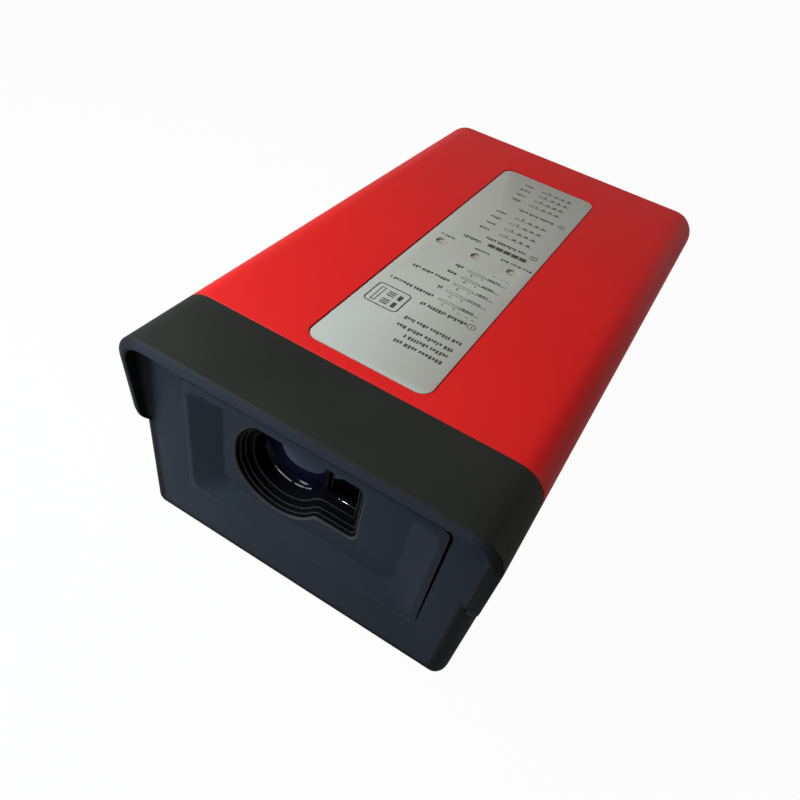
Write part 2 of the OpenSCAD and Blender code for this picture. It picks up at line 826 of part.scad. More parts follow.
module optics_chassis() {
    color("darkgray") placed() difference() {
        union() {
            along_y(chassis_y0, plate_y1) cavity_profile(cap_inset + chassis_gap);
            rod(lens_x, lens_z, chassis_y0, tube_end, tube_r);
            laser_block();
            translate([lens_x - rib_half, chassis_y0, rib_z0])
                cube([2 * rib_half, tube_end - chassis_y0, lens_z - rib_z0]);
            translate([-foot_half, foot_y0, floor_t]) cube([2 * foot_half, foot_y1 - foot_y0, foot_t]);
        }
        rod(lens_x, lens_z, chassis_y0 - cut, lens_y1, lens_seat_r);
        rod(lens_x, lens_z, lens_y1 - cut, tube_end - tube_rear_t, tube_bore_r);
        rod(lens_x, lens_z, lens_y1, tube_end - tube_rear_t + filter_t, filter_r + fit);
        rod(lens_x, lens_z, lens_y1, tube_end + cut, detector_r + fit);
        along_y(chassis_y0 - cut, barrel_y0) window_outline();
        rod(laser_x, laser_z, chassis_y0, barrel_y1, barrel_r + fit);
        rod(laser_x, laser_z, barrel_y1 - cut, tube_end + cut, diode_flange_r + barrel_r / 2);
        for (p = boss_places) rod(p[0], p[1], chassis_y0 - cut, plate_y1 + cut, m2_shank_r + fit);
        for (s = [-1, 1]) {
            translate([s * floor_screw_x, floor_screw_y, floor_t - cut])
                cylinder(h = floor_screw_l - floor_t + 2 * cut, r = m3_shank_r + fit);
            rod(lens_x, lens_z + s * optics_screw_ring_r, tube_end - optics_screw_l, tube_end + cut,
                m2_shank_r + fit);
        }
    }
}

// Block round the laser barrel, beside the receiver tube
module laser_block() {
    half = barrel_r + laser_block_margin;
    translate([laser_x - half, chassis_y0, laser_z - half])
        cube([2 * half, tube_end - chassis_y0, 2 * half]);
}

module chassis_screws() {
    color("silver") placed() for (p = boss_places)
        screw(p[0], p[1], plate_y1, boss_screw_l, m2_shank_r, m2_head_r, m2_head_h);
}

module floor_screws() {
    color("silver") placed() for (s = [-1, 1])
        translate([s * floor_screw_x, floor_screw_y, floor_screw_recess]) difference() {
            union() {
                cylinder(h = countersink_h, r1 = m3_head_r, r2 = m3_shank_r);
                cylinder(h = floor_screw_l, r = m3_shank_r);
            }
            translate([0, 0, -cut])
                cylinder(h = cut + socket_depth, r = m3_head_r * socket_share, $fn = 6);
        }
}

module laser_barrel() {
    color("goldenrod") placed() tube(laser_x, laser_z, barrel_y0, barrel_y1, barrel_r, barrel_bore_r);
}

module collimator_lens() {
    color("lightcyan") placed() rod(laser_x, laser_z, barrel_y0 + collimator_recess,
        barrel_y0 + collimator_recess + collimator_t, barrel_bore_r - fit);
}

module laser_diode() {
    color("gainsboro") placed() {
        rod(laser_x, laser_z, barrel_y1, tube_end, diode_flange_r);
        rod(laser_x, laser_z, barrel_y1 - 2 * diode_flange_t, barrel_y1 + fit, barrel_bore_r - fit);
        leads(laser_x, laser_z, diode_flange_r / 2);
    }
}

// Three leads through the optics board
module leads(x, z, ring_r) {
    for (a = [0:120:240])
        rod(x + ring_r * cos(a), z + ring_r * sin(a), tube_end - fit, tube_end + board_t + tail_over, tail_r);
}

module receiver_filter() {
    color("indigo") placed()
        rod(lens_x, lens_z, tube_end - tube_rear_t, tube_end - tube_rear_t + filter_t, filter_r);
}

module light_detector() {
    color("gainsboro") placed() {
        rod(lens_x, lens_z, tube_end - detector_l, tube_end, detector_r);
        leads(lens_x, lens_z, detector_r / 2);
    }
}

module optics_board() {
    color("darkgreen") placed() difference() {
        translate([optics_board_x0, tube_end, lens_z - optics_board_half_h])
            cube([optics_board_x1 - optics_board_x0, board_t, 2 * optics_board_half_h]);
        for (s = [-1, 1]) rod(lens_x, lens_z + s * optics_screw_ring_r, tube_end - cut,
            tube_end + board_t + cut, m2_shank_r + fit);
        for (a = [0:120:240]) {
            lead_hole(lens_x, lens_z, detector_r / 2, a);
            lead_hole(laser_x, laser_z, diode_flange_r / 2, a);
        }
    }
}

module lead_hole(x, z, ring_r, a) {
    rod(x + ring_r * cos(a), z + ring_r * sin(a), tube_end - cut, tube_end + board_t + cut, tail_r + fit);
}

module optics_board_screws() {
    color("silver") placed() for (s = [-1, 1])
        screw(lens_x, lens_z + s * optics_screw_ring_r, tube_end + board_t, board_t + optics_screw_l,
            m2_shank_r, m2_head_r, m2_head_h);
}

// Flexible lead that rises from the optics board and turns under the main board
module optics_flex() {
    y0 = tube_end + board_t;
    bend_y = y0 + flex_t + flex_bend_r;
    bend_z = main_z0 - flex_t - flex_bend_r;
    mid_x = (laser_x + optics_board_x1) / 2 - flex_half / 2;
    color("peru") placed() along_x(mid_x - flex_half / 2, mid_x + flex_half / 2) {
        translate([y0, laser_z + barrel_r]) square([flex_t, bend_z - laser_z - barrel_r]);
        translate([bend_y, main_z0 - flex_t]) square([boards_y0 + flex_lap - bend_y, flex_t]);
        translate([bend_y, bend_z]) intersection() {
            difference() {
                circle(flex_bend_r + flex_t);
                circle(flex_bend_r);
            }
            translate([-flex_bend_r - cut, 0]) square(flex_bend_r + cut);
        }
    }
}

// Boards

module main_board() {
    color("darkgreen") placed() translate([-main_half, boards_y0, main_z0])
        cube([2 * main_half, boards_y1 - boards_y0, board_t]);
}

// One block on a board for each entry: offset across and along, width, length, height
module chips(list, y, z) {
    for (c = list) translate([c[0] - c[2] / 2, y + c[1] - c[3] / 2, z]) cube([c[2], c[3], c[4]]);
}

module main_board_chips() {
    color("#222222") placed() chips(main_chips, led_y, main_z1);
}

module status_leds() {
    color("white") placed() for (i = [-1:1])
        translate([i * led_pitch - led_size[0] / 2, led_y - led_size[1] / 2, main_z1]) cube(led_size);
}

// Clear bar under the sleeve's top, with a post through each indicator hole
module light_guide() {
    bar_half = led_pitch + guide_bar_half;
    post_z0 = main_z1 + led_size[2] + guide_gap;
    color("mistyrose") placed() {
        translate([-bar_half, led_y - guide_bar_half, cavity_top_z - guide_bar_t])
            cube([2 * bar_half, 2 * guide_bar_half, guide_bar_t]);
        for (i = [-1:1]) translate([i * led_pitch, led_y, post_z0])
            cylinder(h = top_z - guide_recess - post_z0, r = guide_r);
    }
}

module network_board() {
    color("darkgreen") placed() difference() {
        translate([-network_half, boards_y0, network_z0])
            cube([2 * network_half, boards_y1 - boards_y0, board_t]);
        for (p = standoff_places) translate([p[0], p[1], network_z0 - cut])
            cylinder(h = board_t + 2 * cut, r = m2_shank_r + fit);
    }
}

module network_chips() {
    color("#222222") placed() mirror_along(boards_y1) chips(network_chips_at, 0, network_z1);
}

// Turns offsets along the board into offsets forward from its rear end
module mirror_along(y) {
    translate([0, y, 0]) mirror([0, 1, 0]) children();
}

module board_standoffs() {
    color("gold") placed() for (p = standoff_places) translate([p[0], p[1], floor_t]) difference() {
        cylinder(h = standoff_h, r = standoff_r);
        translate([0, 0, standoff_h - board_screw_l]) cylinder(h = board_screw_l + cut, r = m2_shank_r + fit);
    }
}

module board_screws() {
    color("silver") placed() for (p = standoff_places)
        upright_screw(p[0], p[1], network_z1, board_t + board_screw_l - cut, m2_shank_r, m2_head_r, m2_head_h);
}

module ribbon_sockets() {
    color("#222222") placed() for (z = [network_z1, main_z0 - socket_h])
        translate([-socket_half, ribbon_y - socket_l / 2, z]) cube([2 * socket_half, socket_l, socket_h]);
}

module ribbon_cable() {
    z0 = network_z1 + socket_h;
    color("lightgray") placed() translate([-ribbon_half, ribbon_y - ribbon_t / 2, z0])
        cube([2 * ribbon_half, ribbon_t, main_z0 - socket_h - z0]);
}

module board_header() {
    color("#222222") placed() translate([-header_half, connector_board_y0 - header_l, network_z1])
        cube([2 * header_half, header_l, header_h]);
}

module connector_board() {
    color("darkgreen") placed() difference() {
        translate([-connector_board_half, connector_board_y0, connector_board_z0])
            cube([2 * connector_board_half, board_t, connector_board_z1 - connector_board_z0]);
        for (x = port_places) at_contacts(x) tail(tail_r + fit, cut);
        at_contacts(inlet_x) tail(pin_r + fit, cut);
        translate([inlet_x, 0, connector_z]) tail(pin_r + fit, cut);
    }
}

// Rear cover

module rear_cover() {
    color("#26282a") placed() difference() {
        along_y(cover_y0, cover_y1) body_profile(cover_inset);
        for (x = connector_places) rod(x, connector_z, cover_y0 - cut, cover_y1 + cut, connector_body_r + fit);
        for (p = channel_places) rod(p[0], p[1], cover_y0 - cut, cover_y1 + cut, m3_shank_r + fit);
    }
}

module rear_seal() {
    color("#202020") placed() along_y(body_length, cover_y0) difference() {
        body_profile(cover_inset);
        cavity_profile();
        for (p = channel_places) translate(p) circle(m3_shank_r + fit);
    }
}

module rear_screws() {
    color("silver") placed() for (p = channel_places)
        screw(p[0], p[1], cover_y1, cover_y1 - body_length + rear_screw_grip, m3_shank_r, m3_head_r, m3_head_h);
}

// Connectors

// Body in the cover and hexagonal collar, shared by all three shells
module shell_body(x) {
    rod(x, connector_z, shell_y0, collar_y1, connector_body_r);
    hexagon(x, connector_z, collar_y0, collar_y1, collar_width);
}

// Places the contacts of one connector on its circle
module at_contacts(x) {
    for (i = [0:contact_count - 1]) {
        a = (i + 0.5) * 360 / contact_count;
        translate([x + contact_circle_r * cos(a), 0, connector_z + contact_circle_r * sin(a)]) children();
    }
}

// Solder tail from the insert's rear face through the connector board
module tail(r, over) {
    rod(0, 0, connector_board_y0 - over, insert_y0 + over, r);
}

module power_inlet_shell() {
    color("gainsboro") placed() difference() {
        union() {
            shell_body(inlet_x);
            rod(inlet_x, connector_z, collar_y1 - cut, tip_y, inlet_r);
        }
        rod(inlet_x, connector_z, shell_y0 - cut, tip_y + cut, insert_bore_r);
    }
}

module power_inlet_insert() {
    color("#303030") placed() difference() {
        rod(inlet_x, connector_z, insert_y0, inlet_face_y, insert_r);
        at_contacts(inlet_x) rod(0, 0, insert_y0 - cut, inlet_face_y + cut, pin_r + fit);
        rod(inlet_x, connector_z, insert_y0 - cut, inlet_face_y + cut, pin_r + fit);
    }
}

module power_inlet_pins() {
    color("gold") placed() {
        at_contacts(inlet_x) rod(0, 0, connector_board_y0 - tail_over, pin_tip_y, pin_r);
        rod(inlet_x, connector_z, connector_board_y0 - tail_over, pin_tip_y, pin_r);
    }
}

module network_port_shells() {
    color("gainsboro") placed() for (x = port_places) difference() {
        union() {
            shell_body(x);
            rod(x, connector_z, collar_y1 - cut, tip_y, port_r);
        }
        rod(x, connector_z, shell_y0 - cut, tip_y + cut, insert_bore_r);
        rod(x, connector_z, port_bore_y0, tip_y + cut, port_bore_r);
    }
}

module network_port_inserts() {
    color("#303030") placed() for (x = port_places) difference() {
        rod(x, connector_z, insert_y0, port_face_y, insert_r);
        at_contacts(x) rod(0, 0, insert_y0 - cut, port_face_y + cut, contact_r + fit);
    }
}

module network_port_contacts() {
    color("gold") placed() for (x = port_places) at_contacts(x) difference() {
        union() {
            rod(0, 0, insert_y0, port_face_y, contact_r);
            rod(0, 0, connector_board_y0 - tail_over, insert_y0 + fit, tail_r);
        }
        rod(0, 0, port_face_y - contact_bore_l, port_face_y + cut, contact_bore_r);
    }
}

module connector_seals() {
    color("#202020") placed() for (x = connector_places)
        tube(x, connector_z, cover_y1, collar_y0, connector_body_r + washer_wall, connector_body_r + fit);
}

module connector_nuts() {
    color("gainsboro") placed() for (x = connector_places) difference() {
        hexagon(x, connector_z, cover_y0 - nut_t, cover_y0, nut_width);
        rod(x, connector_z, cover_y0 - nut_t - cut, cover_y0 + cut, connector_body_r + fit);
    }
}

housing_sleeve();
front_cap();
front_seal();
optics_bezel();
bezel_seal();
receiver_lens();
lens_retainer();
laser_window();
optics_chassis();
chassis_screws();
floor_screws();
laser_barrel();
collimator_lens();
laser_diode();
receiver_filter();
light_detector();
optics_board();
optics_board_screws();
optics_flex();
main_board();
main_board_chips();
status_leds();
light_guide();
label_plate();
network_board();
network_chips();
board_standoffs();
board_screws();
ribbon_sockets();
ribbon_cable();
board_header();
connector_board();
rear_cover();
rear_seal();
rear_screws();
power_inlet_shell();
power_inlet_insert();
power_inlet_pins();
network_port_shells();
network_port_inserts();
network_port_contacts();
connector_seals();
connector_nuts();
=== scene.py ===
"""Dressed model of a laser displacement sensor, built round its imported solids.

Every shape is worked out in the front frame: y = 0 is the face of the cap, +X is to the right seen
from the front, +Y runs to the connectors and z = 0 is the underside. FRONT_Y moves it to the row frame.
"""

import json
import math

import bmesh
import bpy
import numpy as np
from bpy.props import FloatProperty, FloatVectorProperty, PointerProperty
from mathutils import Matrix, Vector


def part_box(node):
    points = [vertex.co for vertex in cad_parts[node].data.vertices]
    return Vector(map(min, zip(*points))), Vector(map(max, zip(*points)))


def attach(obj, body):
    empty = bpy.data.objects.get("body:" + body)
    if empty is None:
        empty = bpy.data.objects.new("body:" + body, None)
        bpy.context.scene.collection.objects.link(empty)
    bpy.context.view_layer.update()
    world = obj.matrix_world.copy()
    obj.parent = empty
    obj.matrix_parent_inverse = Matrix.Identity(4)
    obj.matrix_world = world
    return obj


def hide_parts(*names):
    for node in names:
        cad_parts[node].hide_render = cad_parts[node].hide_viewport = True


bl_info = {
    "name": "Laser displacement sensor",
    "version": (1, 0, 0),
    "blender": (4, 5, 0),
    "location": "3D View > Sidebar > Sensor",
    "description": "Builds the sensor's visible pieces, finishes and stage round its solids",
    "category": "Object",
}

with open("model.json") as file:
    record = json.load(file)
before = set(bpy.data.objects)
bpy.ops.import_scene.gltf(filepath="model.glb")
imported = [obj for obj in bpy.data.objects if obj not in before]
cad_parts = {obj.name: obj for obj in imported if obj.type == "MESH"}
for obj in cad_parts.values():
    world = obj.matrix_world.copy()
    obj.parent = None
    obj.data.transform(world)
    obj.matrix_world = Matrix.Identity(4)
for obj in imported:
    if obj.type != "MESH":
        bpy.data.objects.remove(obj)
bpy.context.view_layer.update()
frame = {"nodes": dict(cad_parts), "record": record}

MM = 0.001
BODY = "root"
# Attribute names of the painted front reflection and of the painted edge shade and highlight
FRONT_REFLECTION_SHARE = "painted_front_reflection"
EDGE_LIGHT_SHARE = "painted_edge_light"


def node_box(name):
    """Lowest and highest corner of a CAD node as two arrays."""
    low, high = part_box(name)
    return np.array(low), np.array(high)


SLEEVE_LOW, SLEEVE_HIGH = node_box("housing_sleeve")
LABEL_LOW, LABEL_HIGH = node_box("label_plate")
COVER_LOW, COVER_HIGH = node_box("rear_cover")
INLET_LOW, INLET_HIGH = node_box("power_inlet_shell")
LENS_LOW, LENS_HIGH = node_box("receiver_lens")


def length(millimetres, words):
    """Property of one length, written in millimetres and held in metres."""
    return FloatProperty(description=words, default=millimetres * MM, unit="LENGTH", precision=5)


def tint(colour, words):
    """Property of one colour, in linear light."""
    return FloatVectorProperty(description=words, default=colour, subtype="COLOR", min=0, max=1)


class SensorBodySizes(bpy.types.PropertyGroup):
    """Sizes of the sleeve, the cap and the visor"""

    cap_depth: length(14.2, "Front face to the seam with the sleeve")
    face_t: length(3, "Thickness of the cap's front wall")
    top_corner: length(6.8, "Radius of the two upper long edges")
    base_corner: length(2.5, "Radius of the two lower long edges")
    wall: length(2.6, "Wall of the sleeve at its sides and top")
    floor_t: length(5, "Thickness of the sleeve's floor")
    spigot_depth: length(4, "How far the cap enters the sleeve")
    spigot_gap: length(0.15, "Gap between the spigot and the sleeve")
    spigot_wall: length(1.8, "Wall of the spigot")
    visor_reach: length(4.2, "Reach of the visor in front of the face, at the top")
    visor_t: length(2.2, "Thickness of the visor and its lips")
    # Painted shade: the deep black band is shade painted along the face's lower edges
    shade_band_side: length(3.0, "Width of the face's deep black band at its lower side edges")
    shade_band_base: length(2.4, "Width of the face's deep black band at its lower edge")
    shade_band_fade: length(0.9, "Width over which the deep black band fades into the face")
    bevel_depth: length(0.72, "Bevel of the visor's outer front edge, along Y")
    bevel_drop: length(1.45, "The same bevel, across the visor's thickness")
    side_bevel: length(1.1, "Depth added to the bevel at the sides, below the lips")
    base_bevel: length(0.35, "Depth added to the bevel along the base")
    visor_root: length(1.6, "Fillet between the visor and the face")
    visor_rake: FloatProperty(description="Backward lean of the visor's front edge",
                              default=math.radians(4.8), subtype="ANGLE")
    lip_drop: length(25.3, "Top of the body to the lower end of the side lips")
    lip_corner: length(5.5, "Rounding of the lips' lower front corner")
    face_edge: length(1.9, "Softening of the lower front edges")
    crisp_edge: length(0.14, "Softening of the bevel's lower edge")
    soft_edge: length(0.45, "Softening of the bevel's upper edge")
    seam_edge: length(0.22, "Softening of the edges along the seam")
    rear_edge: length(0.4, "Softening of the sleeve's rear edge")


class SensorBezelSizes(bpy.types.PropertyGroup):
    """Sizes of the bezel, its pocket and its keyhole well"""

    left: length(11.5, "Left side of the body to the bezel")
    right: length(10.1, "Right side of the body to the bezel")
    top: length(7.4, "Top of the body to the bezel")
    base: length(14.4, "Base of the body to the bezel")
    corner: length(1.5, "Corner radius of the bezel")
    gap_wide: length(0.6, "Gap at the bezel's right side and top")
    gap_narrow: length(0.01, "Gap at the bezel's left side and base")
    rim_side: length(1.3, "Side edges of the bezel to the pocket's rim")
    rim_top: length(1.9, "Top edge of the bezel to the pocket's rim")
    rim_base: length(0.9, "Lower edge of the bezel to the pocket's rim")
    rim_corner: length(2.6, "Corner radius of the pocket's rim")
    floor_corner: length(3, "Corner radius of the pocket's floor")
    depth: length(3, "Depth of the pocket")
    side_run: length(6, "Run of the pocket's side walls")
    base_run: length(3.5, "Run of the pocket's lower wall")
    top_run: length(2, "Run of the pocket's upper wall")
    receiver: length(10.5, "Radius of the round part of the well")
    rise: length(1.3, "How far the round part is drawn out upward")
    shift: length(7.6, "Middle of the pocket to the receiver's axis")
    reach: length(18.6, "Receiver's axis to the right end of the well")
    drop: length(5.3, "Receiver's axis to the lower edge of the square part")
    key_corner: length(1.8, "Corner radius of the square part")
    key_top: length(10.4, "Receiver's axis to the upper edge of the square part")
    key_shoulder: length(2.3, "Upper corner radius of the square part")
    key_blend: length(2, "Blend between the round and the square part")
    aperture: length(2.6, "Inset of the rear apertures from the well")
    divider: length(0.6, "Wall between the two apertures")
    back_t: length(1.2, "Thickness of the bezel's rear wall")
    well_wall: length(1.6, "Wall of the bezel round the well")
    seal_t: length(0.5, "Thickness of the seal under the flange")
    flange_t: length(1.5, "Thickness of the rear flange")
    flange_lap: length(0.9, "Lap of the flange behind the face")
    rim_ease: length(0.28, "Softening of the pocket's rim")
    floor_ease: length(0.35, "Softening of the pocket's foot")
    well_ease: length(0.5, "Softening of the well's upper edge")
    ledge_ease: length(0.14, "Softening of the ledges")


class SensorRearSizes(bpy.types.PropertyGroup):
    """Sizes of the label, the connectors and the screws"""

    label_corner: length(2.7, "Corner radius of the label")
    label_gap: length(0.25, "Gap round the label")
    led_pitch: length(9, "Distance between the indicator holes")
    led_hole: length(1.5, "Radius of the indicator holes")
    window_drop: length(0.4, "Depth of the indicator windows below the label")
    collar_width: length(18, "Flat to flat width of the connectors' collar")
    collar_t: length(2.5, "Thickness of the connectors' collar")
    thread_pitch: length(1, "Pitch of the connectors' thread")
    thread_depth: length(0.5, "Depth of the connectors' thread")
    body_r: length(8, "Radius of the connectors' body in the cover")
    inlet_r: length(6, "Outer radius of the power inlet's thread")
    port_r: length(7.4, "Outer radius of the network ports")
    port_bore: length(5.6, "Bore of the network ports")
    insert_bore: length(4.3, "Bore for the connectors' inserts")
    shank_r: length(1.5, "Radius of the rear screws")
    head_r: length(2.75, "Radius of the rear screws' heads")
    head_h: length(2, "Height of the rear screws' heads")


class SensorColours(bpy.types.PropertyGroup):
    """Colours of the finishes, in linear light"""

    red_paint: tint((0.50, 0.013, 0.012), "Satin paint of the sleeve")
    cap_black: tint((0.0160, 0.0167, 0.0148), "Textured coating of the cap and the rear cover")
    # Painted reflection: this bluish tint stands in for the light that the cap's front-facing surfaces
    # reflect
    front_reflection_tint: tint((0.0200, 0.0240, 0.0310), "Painted bluish reflection on the cap's front-facing surfaces")
    bezel_black: tint((0.0200, 0.0240, 0.0310), "Moulding of the optics bezel")
    # Painted shade: deep black in the stepped well and along the cap's lower edges and side lips
    shade_black: tint((0.004, 0.004, 0.005), "Painted shade in the stepped well and on the cap's lower edges")
    # Painted highlight: pale grey along the well's upper edge and the ledges' edges
    ledge_highlight_grey: tint((0.052, 0.050, 0.045), "Painted highlight on the edges of the well and its ledges")
    lens_violet: tint((0.006, 0.006, 0.016), "Body colour of the coated lens")
    lens_sheen: tint((0.11, 0.12, 0.26), "Tint of the lens coating's reflection")
    label_silver: tint((0.325, 0.332, 0.302), "Satin film of the label")
    print_grey: tint((0.035, 0.036, 0.033), "Print on the label")
    nickel: tint((0.58, 0.56, 0.52), "Plating of the connectors")
    zinc: tint((0.52, 0.52, 0.51), "Plating of the screws")
    floor_white: tint((0.5, 0.5, 0.5), "Floor of the stage")


# Frame of the shapes

SLEEVE_START = 14.5 * MM
FRONT_Y = SLEEVE_LOW[1] - SLEEVE_START
HALF_W = SLEEVE_HIGH[0]
TOP_Z = SLEEVE_HIGH[2]
END_Y = SLEEVE_HIGH[1] - FRONT_Y
LABEL_Y = (LABEL_LOW[1] + LABEL_HIGH[1]) / 2 - FRONT_Y
FIT = 0.05 * MM
PAST = 1 * MM
LEAST_R = 0.3 * MM
HOLLOW_CORNER = 1 * MM
PRINT_T = 0.012 * MM
WELL_CENTRE = np.array([5.5, 1.0]) * MM
LEDGES = np.array([[0, 1.0], [0.6, 1.0], [1.15, 1.1], [2.35, 2.2]]) * MM
ACROSS = np.linspace(0, 1, 24, endpoint=False)
UP = np.concatenate([np.linspace(0, 0.555, 8), np.linspace(0.568, 0.716, 48), np.linspace(0.735, 0.97, 8)])
DOWN = np.concatenate([[0], 1 - UP[:0:-1]])
ARC = np.linspace(0, math.pi / 2, 14, endpoint=False)
TURN = np.linspace(0, 2 * math.pi, 96, endpoint=False)
POLAR = np.linspace(-math.pi, math.pi, 960, endpoint=False)


# Surfaces


def rounded_ring(x0, x1, z0, z1, r_top, r_base):
    """Rectangle with round corners as points (N, 2) and inward normals (N, 2).

    Four straight runs and four quarter circles follow each other anticlockwise. Every ring has the same
    number of points in each run, so two rings join point by point."""

    def line(start, end, share, normal):
        start, end = np.array(start), np.array(end)
        points = start + share[:, None] * (end - start)
        return points, np.tile(normal, (len(share), 1))

    def corner(x, z, r, first):
        out = np.stack([np.cos(ARC + first), np.sin(ARC + first)], 1)
        return np.array([x, z]) + r * out, -out

    quarter = math.pi / 2
    runs = [
        line((x0 + r_base, z0), (x1 - r_base, z0), ACROSS, (0.0, 1.0)),
        corner(x1 - r_base, z0 + r_base, r_base, -quarter),
        line((x1, z0 + r_base), (x1, z1 - r_top), UP, (-1.0, 0.0)),
        corner(x1 - r_top, z1 - r_top, r_top, 0),
        line((x1 - r_top, z1), (x0 + r_top, z1), ACROSS, (0.0, -1.0)),
        corner(x0 + r_top, z1 - r_top, r_top, quarter),
        line((x0, z1 - r_top), (x0, z0 + r_base), DOWN, (1.0, 0.0)),
        corner(x0 + r_base, z0 + r_base, r_base, 2 * quarter),
    ]
    return np.concatenate([r[0] for r in runs]), np.concatenate([r[1] for r in runs])


def standing(outline, y):
    """XZ outline (N, 2) lifted to points (N, 3) at y, which may differ from point to point."""
    return np.stack([outline[:, 0], np.broadcast_to(y, len(outline)), outline[:, 1]], 1)


def lying(outline, z):
    """XY outline (N, 2) lifted to points (N, 3) at the height z."""
    return np.column_stack([outline, np.full(len(outline), z)])


def soft_corners(control, ease, steps=5, loop=False):
    """Rings (R, N, 3) through control rings (V, N, 3), with soft corners.

    Each inner control point P becomes the curve (1-t)^2 A + 2t(1-t) P + t^2 B, where A and B lie on the
    two neighbouring sides, at the corner's ease from P or at half the side."""
    rings = []
    count = len(control)
    share = np.linspace(0, 1, steps)[:, None, None]
    for i, point in enumerate(control):
        amount = np.broadcast_to(ease[i], point.shape[0])
        if np.all(amount <= 0) or (not loop and i in (0, count - 1)):
            rings.append(point[None])
            continue
        ends = []
        for other in (control[i - 1], control[(i + 1) % count]):
            side = other - point
            size = np.linalg.norm(side, axis=1)
            step = np.minimum(amount, 0.49 * size) / np.maximum(size, 1e-12)
            ends.append(point + step[:, None] * side)
        a, b = ends
        rings.append((1 - share) ** 2 * a + 2 * share * (1 - share) * point + share**2 * b)
    return np.concatenate(rings)


def lathe(profile, x, z, turn=TURN):
    """Rings (V, N, 3) of a surface of revolution about a Y axis: radius and y of each profile point."""
    profile = np.asarray(profile, float)
    radius, y = profile[:, 0, None], profile[:, 1, None]
    across = x + radius * np.cos(turn)
    return np.stack([across, np.broadcast_to(y, across.shape), z + radius * np.sin(turn)], 2)


def spun(rows, x, z):
    """Rings (V, N, 3) about a Y axis, from rows of radius and y.

    A row's radius is one number, or changes with the angle as a hexagon's or a thread's does."""
    radius, y = (np.stack([np.broadcast_to(row[k], len(TURN)) for row in rows]) for k in (0, 1))
    return np.stack([x + radius * np.cos(TURN), y, z + radius * np.sin(TURN)], 2)


def hexagon(width):
    """Polar radius of a hexagon with flats at its sides: half its width over cos of the angle to a flat."""
    sector = math.pi / 3
    return width / 2 / np.cos((TURN + sector / 2) % sector - sector / 2)


def polar_radius(outline, centre):
    """Distance from a centre to a closed outline (P, 2) in each direction of POLAR.

    It holds for outlines that are seen whole from the centre."""
    away = outline - centre
    angle = np.arctan2(away[:, 1], away[:, 0])
    order = np.argsort(angle)
    return np.interp(POLAR, angle[order], np.hypot(away[:, 0], away[:, 1])[order], period=2 * math.pi)


def row_points(rings):
    """Points (R * N, 3) of rings (R, N, 3), moved from the front frame to the row frame."""
    return (rings + np.array([0, FRONT_Y, 0])).reshape(-1, 3)


def ring_faces(rows, columns, loop):
    """Faces between rings that are closed round. The ends are joined or capped flat."""
    here = np.arange(rows * columns).reshape(rows, columns)
    low = here if loop else here[:-1]
    high = np.roll(here, -1, 0) if loop else here[1:]
    quads = np.stack([low, np.roll(low, -1, 1), np.roll(high, -1, 1), high], 2).reshape(-1, 4).tolist()
    return quads if loop else quads + [here[0].tolist(), here[-1].tolist()]


def make_piece(name, rings, finish, replaces=(), loop=False, sharp=35, cutters=(), edges=None):
    """Object from rings (R, N, 3) that are closed round N. The ends are joined or capped flat.

    Equal points are merged, normals look outwards, cutters are taken away and edges that turn by more
    than the sharp angle stay hard. edges (R, 1) or (R, N) gives each point's share of the painted edge
    colour: painted shade on the cap, painted highlight on the bezel."""
    shape = rings.shape[:2]
    shade = None if edges is None else np.broadcast_to(edges, shape).ravel()
    return finish_piece(name, row_points(rings), ring_faces(*shape, loop), finish, replaces, sharp,
                        cutters, shade)


def place_object(name, data):
    """New object of some data, linked to the scene at the origin."""
    made = bpy.data.objects.new(name, data)
    bpy.context.scene.collection.objects.link(made)
    return made


def settled_mesh(thing):
    """Mesh of an object as its modifiers or its text leave it."""
    bpy.context.view_layer.update()
    return bpy.data.meshes.new_from_object(thing.evaluated_get(bpy.context.evaluated_depsgraph_get()))


def finish_piece(name, points, faces, finish, replaces=(), sharp=35, cutters=(), edges=None):
    """Object from points and faces in the row frame: merged, turned outwards, cut, smoothed and ridden."""
    mesh = bpy.data.meshes.new(name)
    mesh.from_pydata(np.asarray(points), [], faces)
    if edges is not None:
        mesh.attributes.new(EDGE_LIGHT_SHARE, "FLOAT", "POINT").data.foreach_set("value", edges)
    tidy_mesh(mesh)
    piece = place_object(name, mesh)
    if cutters:
        carve(piece, cutters)
    piece.data.polygons.foreach_set("use_smooth", np.ones(len(piece.data.polygons), bool))
    piece.data.set_sharp_from_angle(angle=math.radians(sharp))
    piece.data.materials.clear()
    piece.data.materials.append(finish)
    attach(piece, BODY)
    if replaces:
        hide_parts(*replaces)
    return piece


def tidy_mesh(mesh):
    """Merges equal points, drops faces without area and turns the rest outwards."""
    work = bmesh.new()
    work.from_mesh(mesh)
    bmesh.ops.remove_doubles(work, verts=work.verts, dist=1e-7)
    bmesh.ops.dissolve_degenerate(work, dist=1e-7, edges=work.edges)
    bmesh.ops.recalc_face_normals(work, faces=work.faces)
    work.to_mesh(mesh)
    work.free()


def mark_front_reflection(mesh):
    """Share of the painted front reflection per point: 0 to 1 while -n.y of its normal n runs from 0.7 to
    0.9.
    """
    normal = np.empty(3 * len(mesh.vertices), np.float32)
    mesh.vertex_normals.foreach_get("vector", normal)
    share = np.clip((-normal[1::3] - 0.7) / 0.2, 0, 1)
    mesh.attributes.new(FRONT_REFLECTION_SHARE, "FLOAT", "POINT").data.foreach_set("value", share)


def cutter(rings):
    """Closed tool for carve: rings (R, N, 3) in the front frame with flat ends."""
    mesh = bpy.data.meshes.new("tool")
    mesh.from_pydata(row_points(rings), [], ring_faces(*rings.shape[:2], False))
    tidy_mesh(mesh)
    return mesh


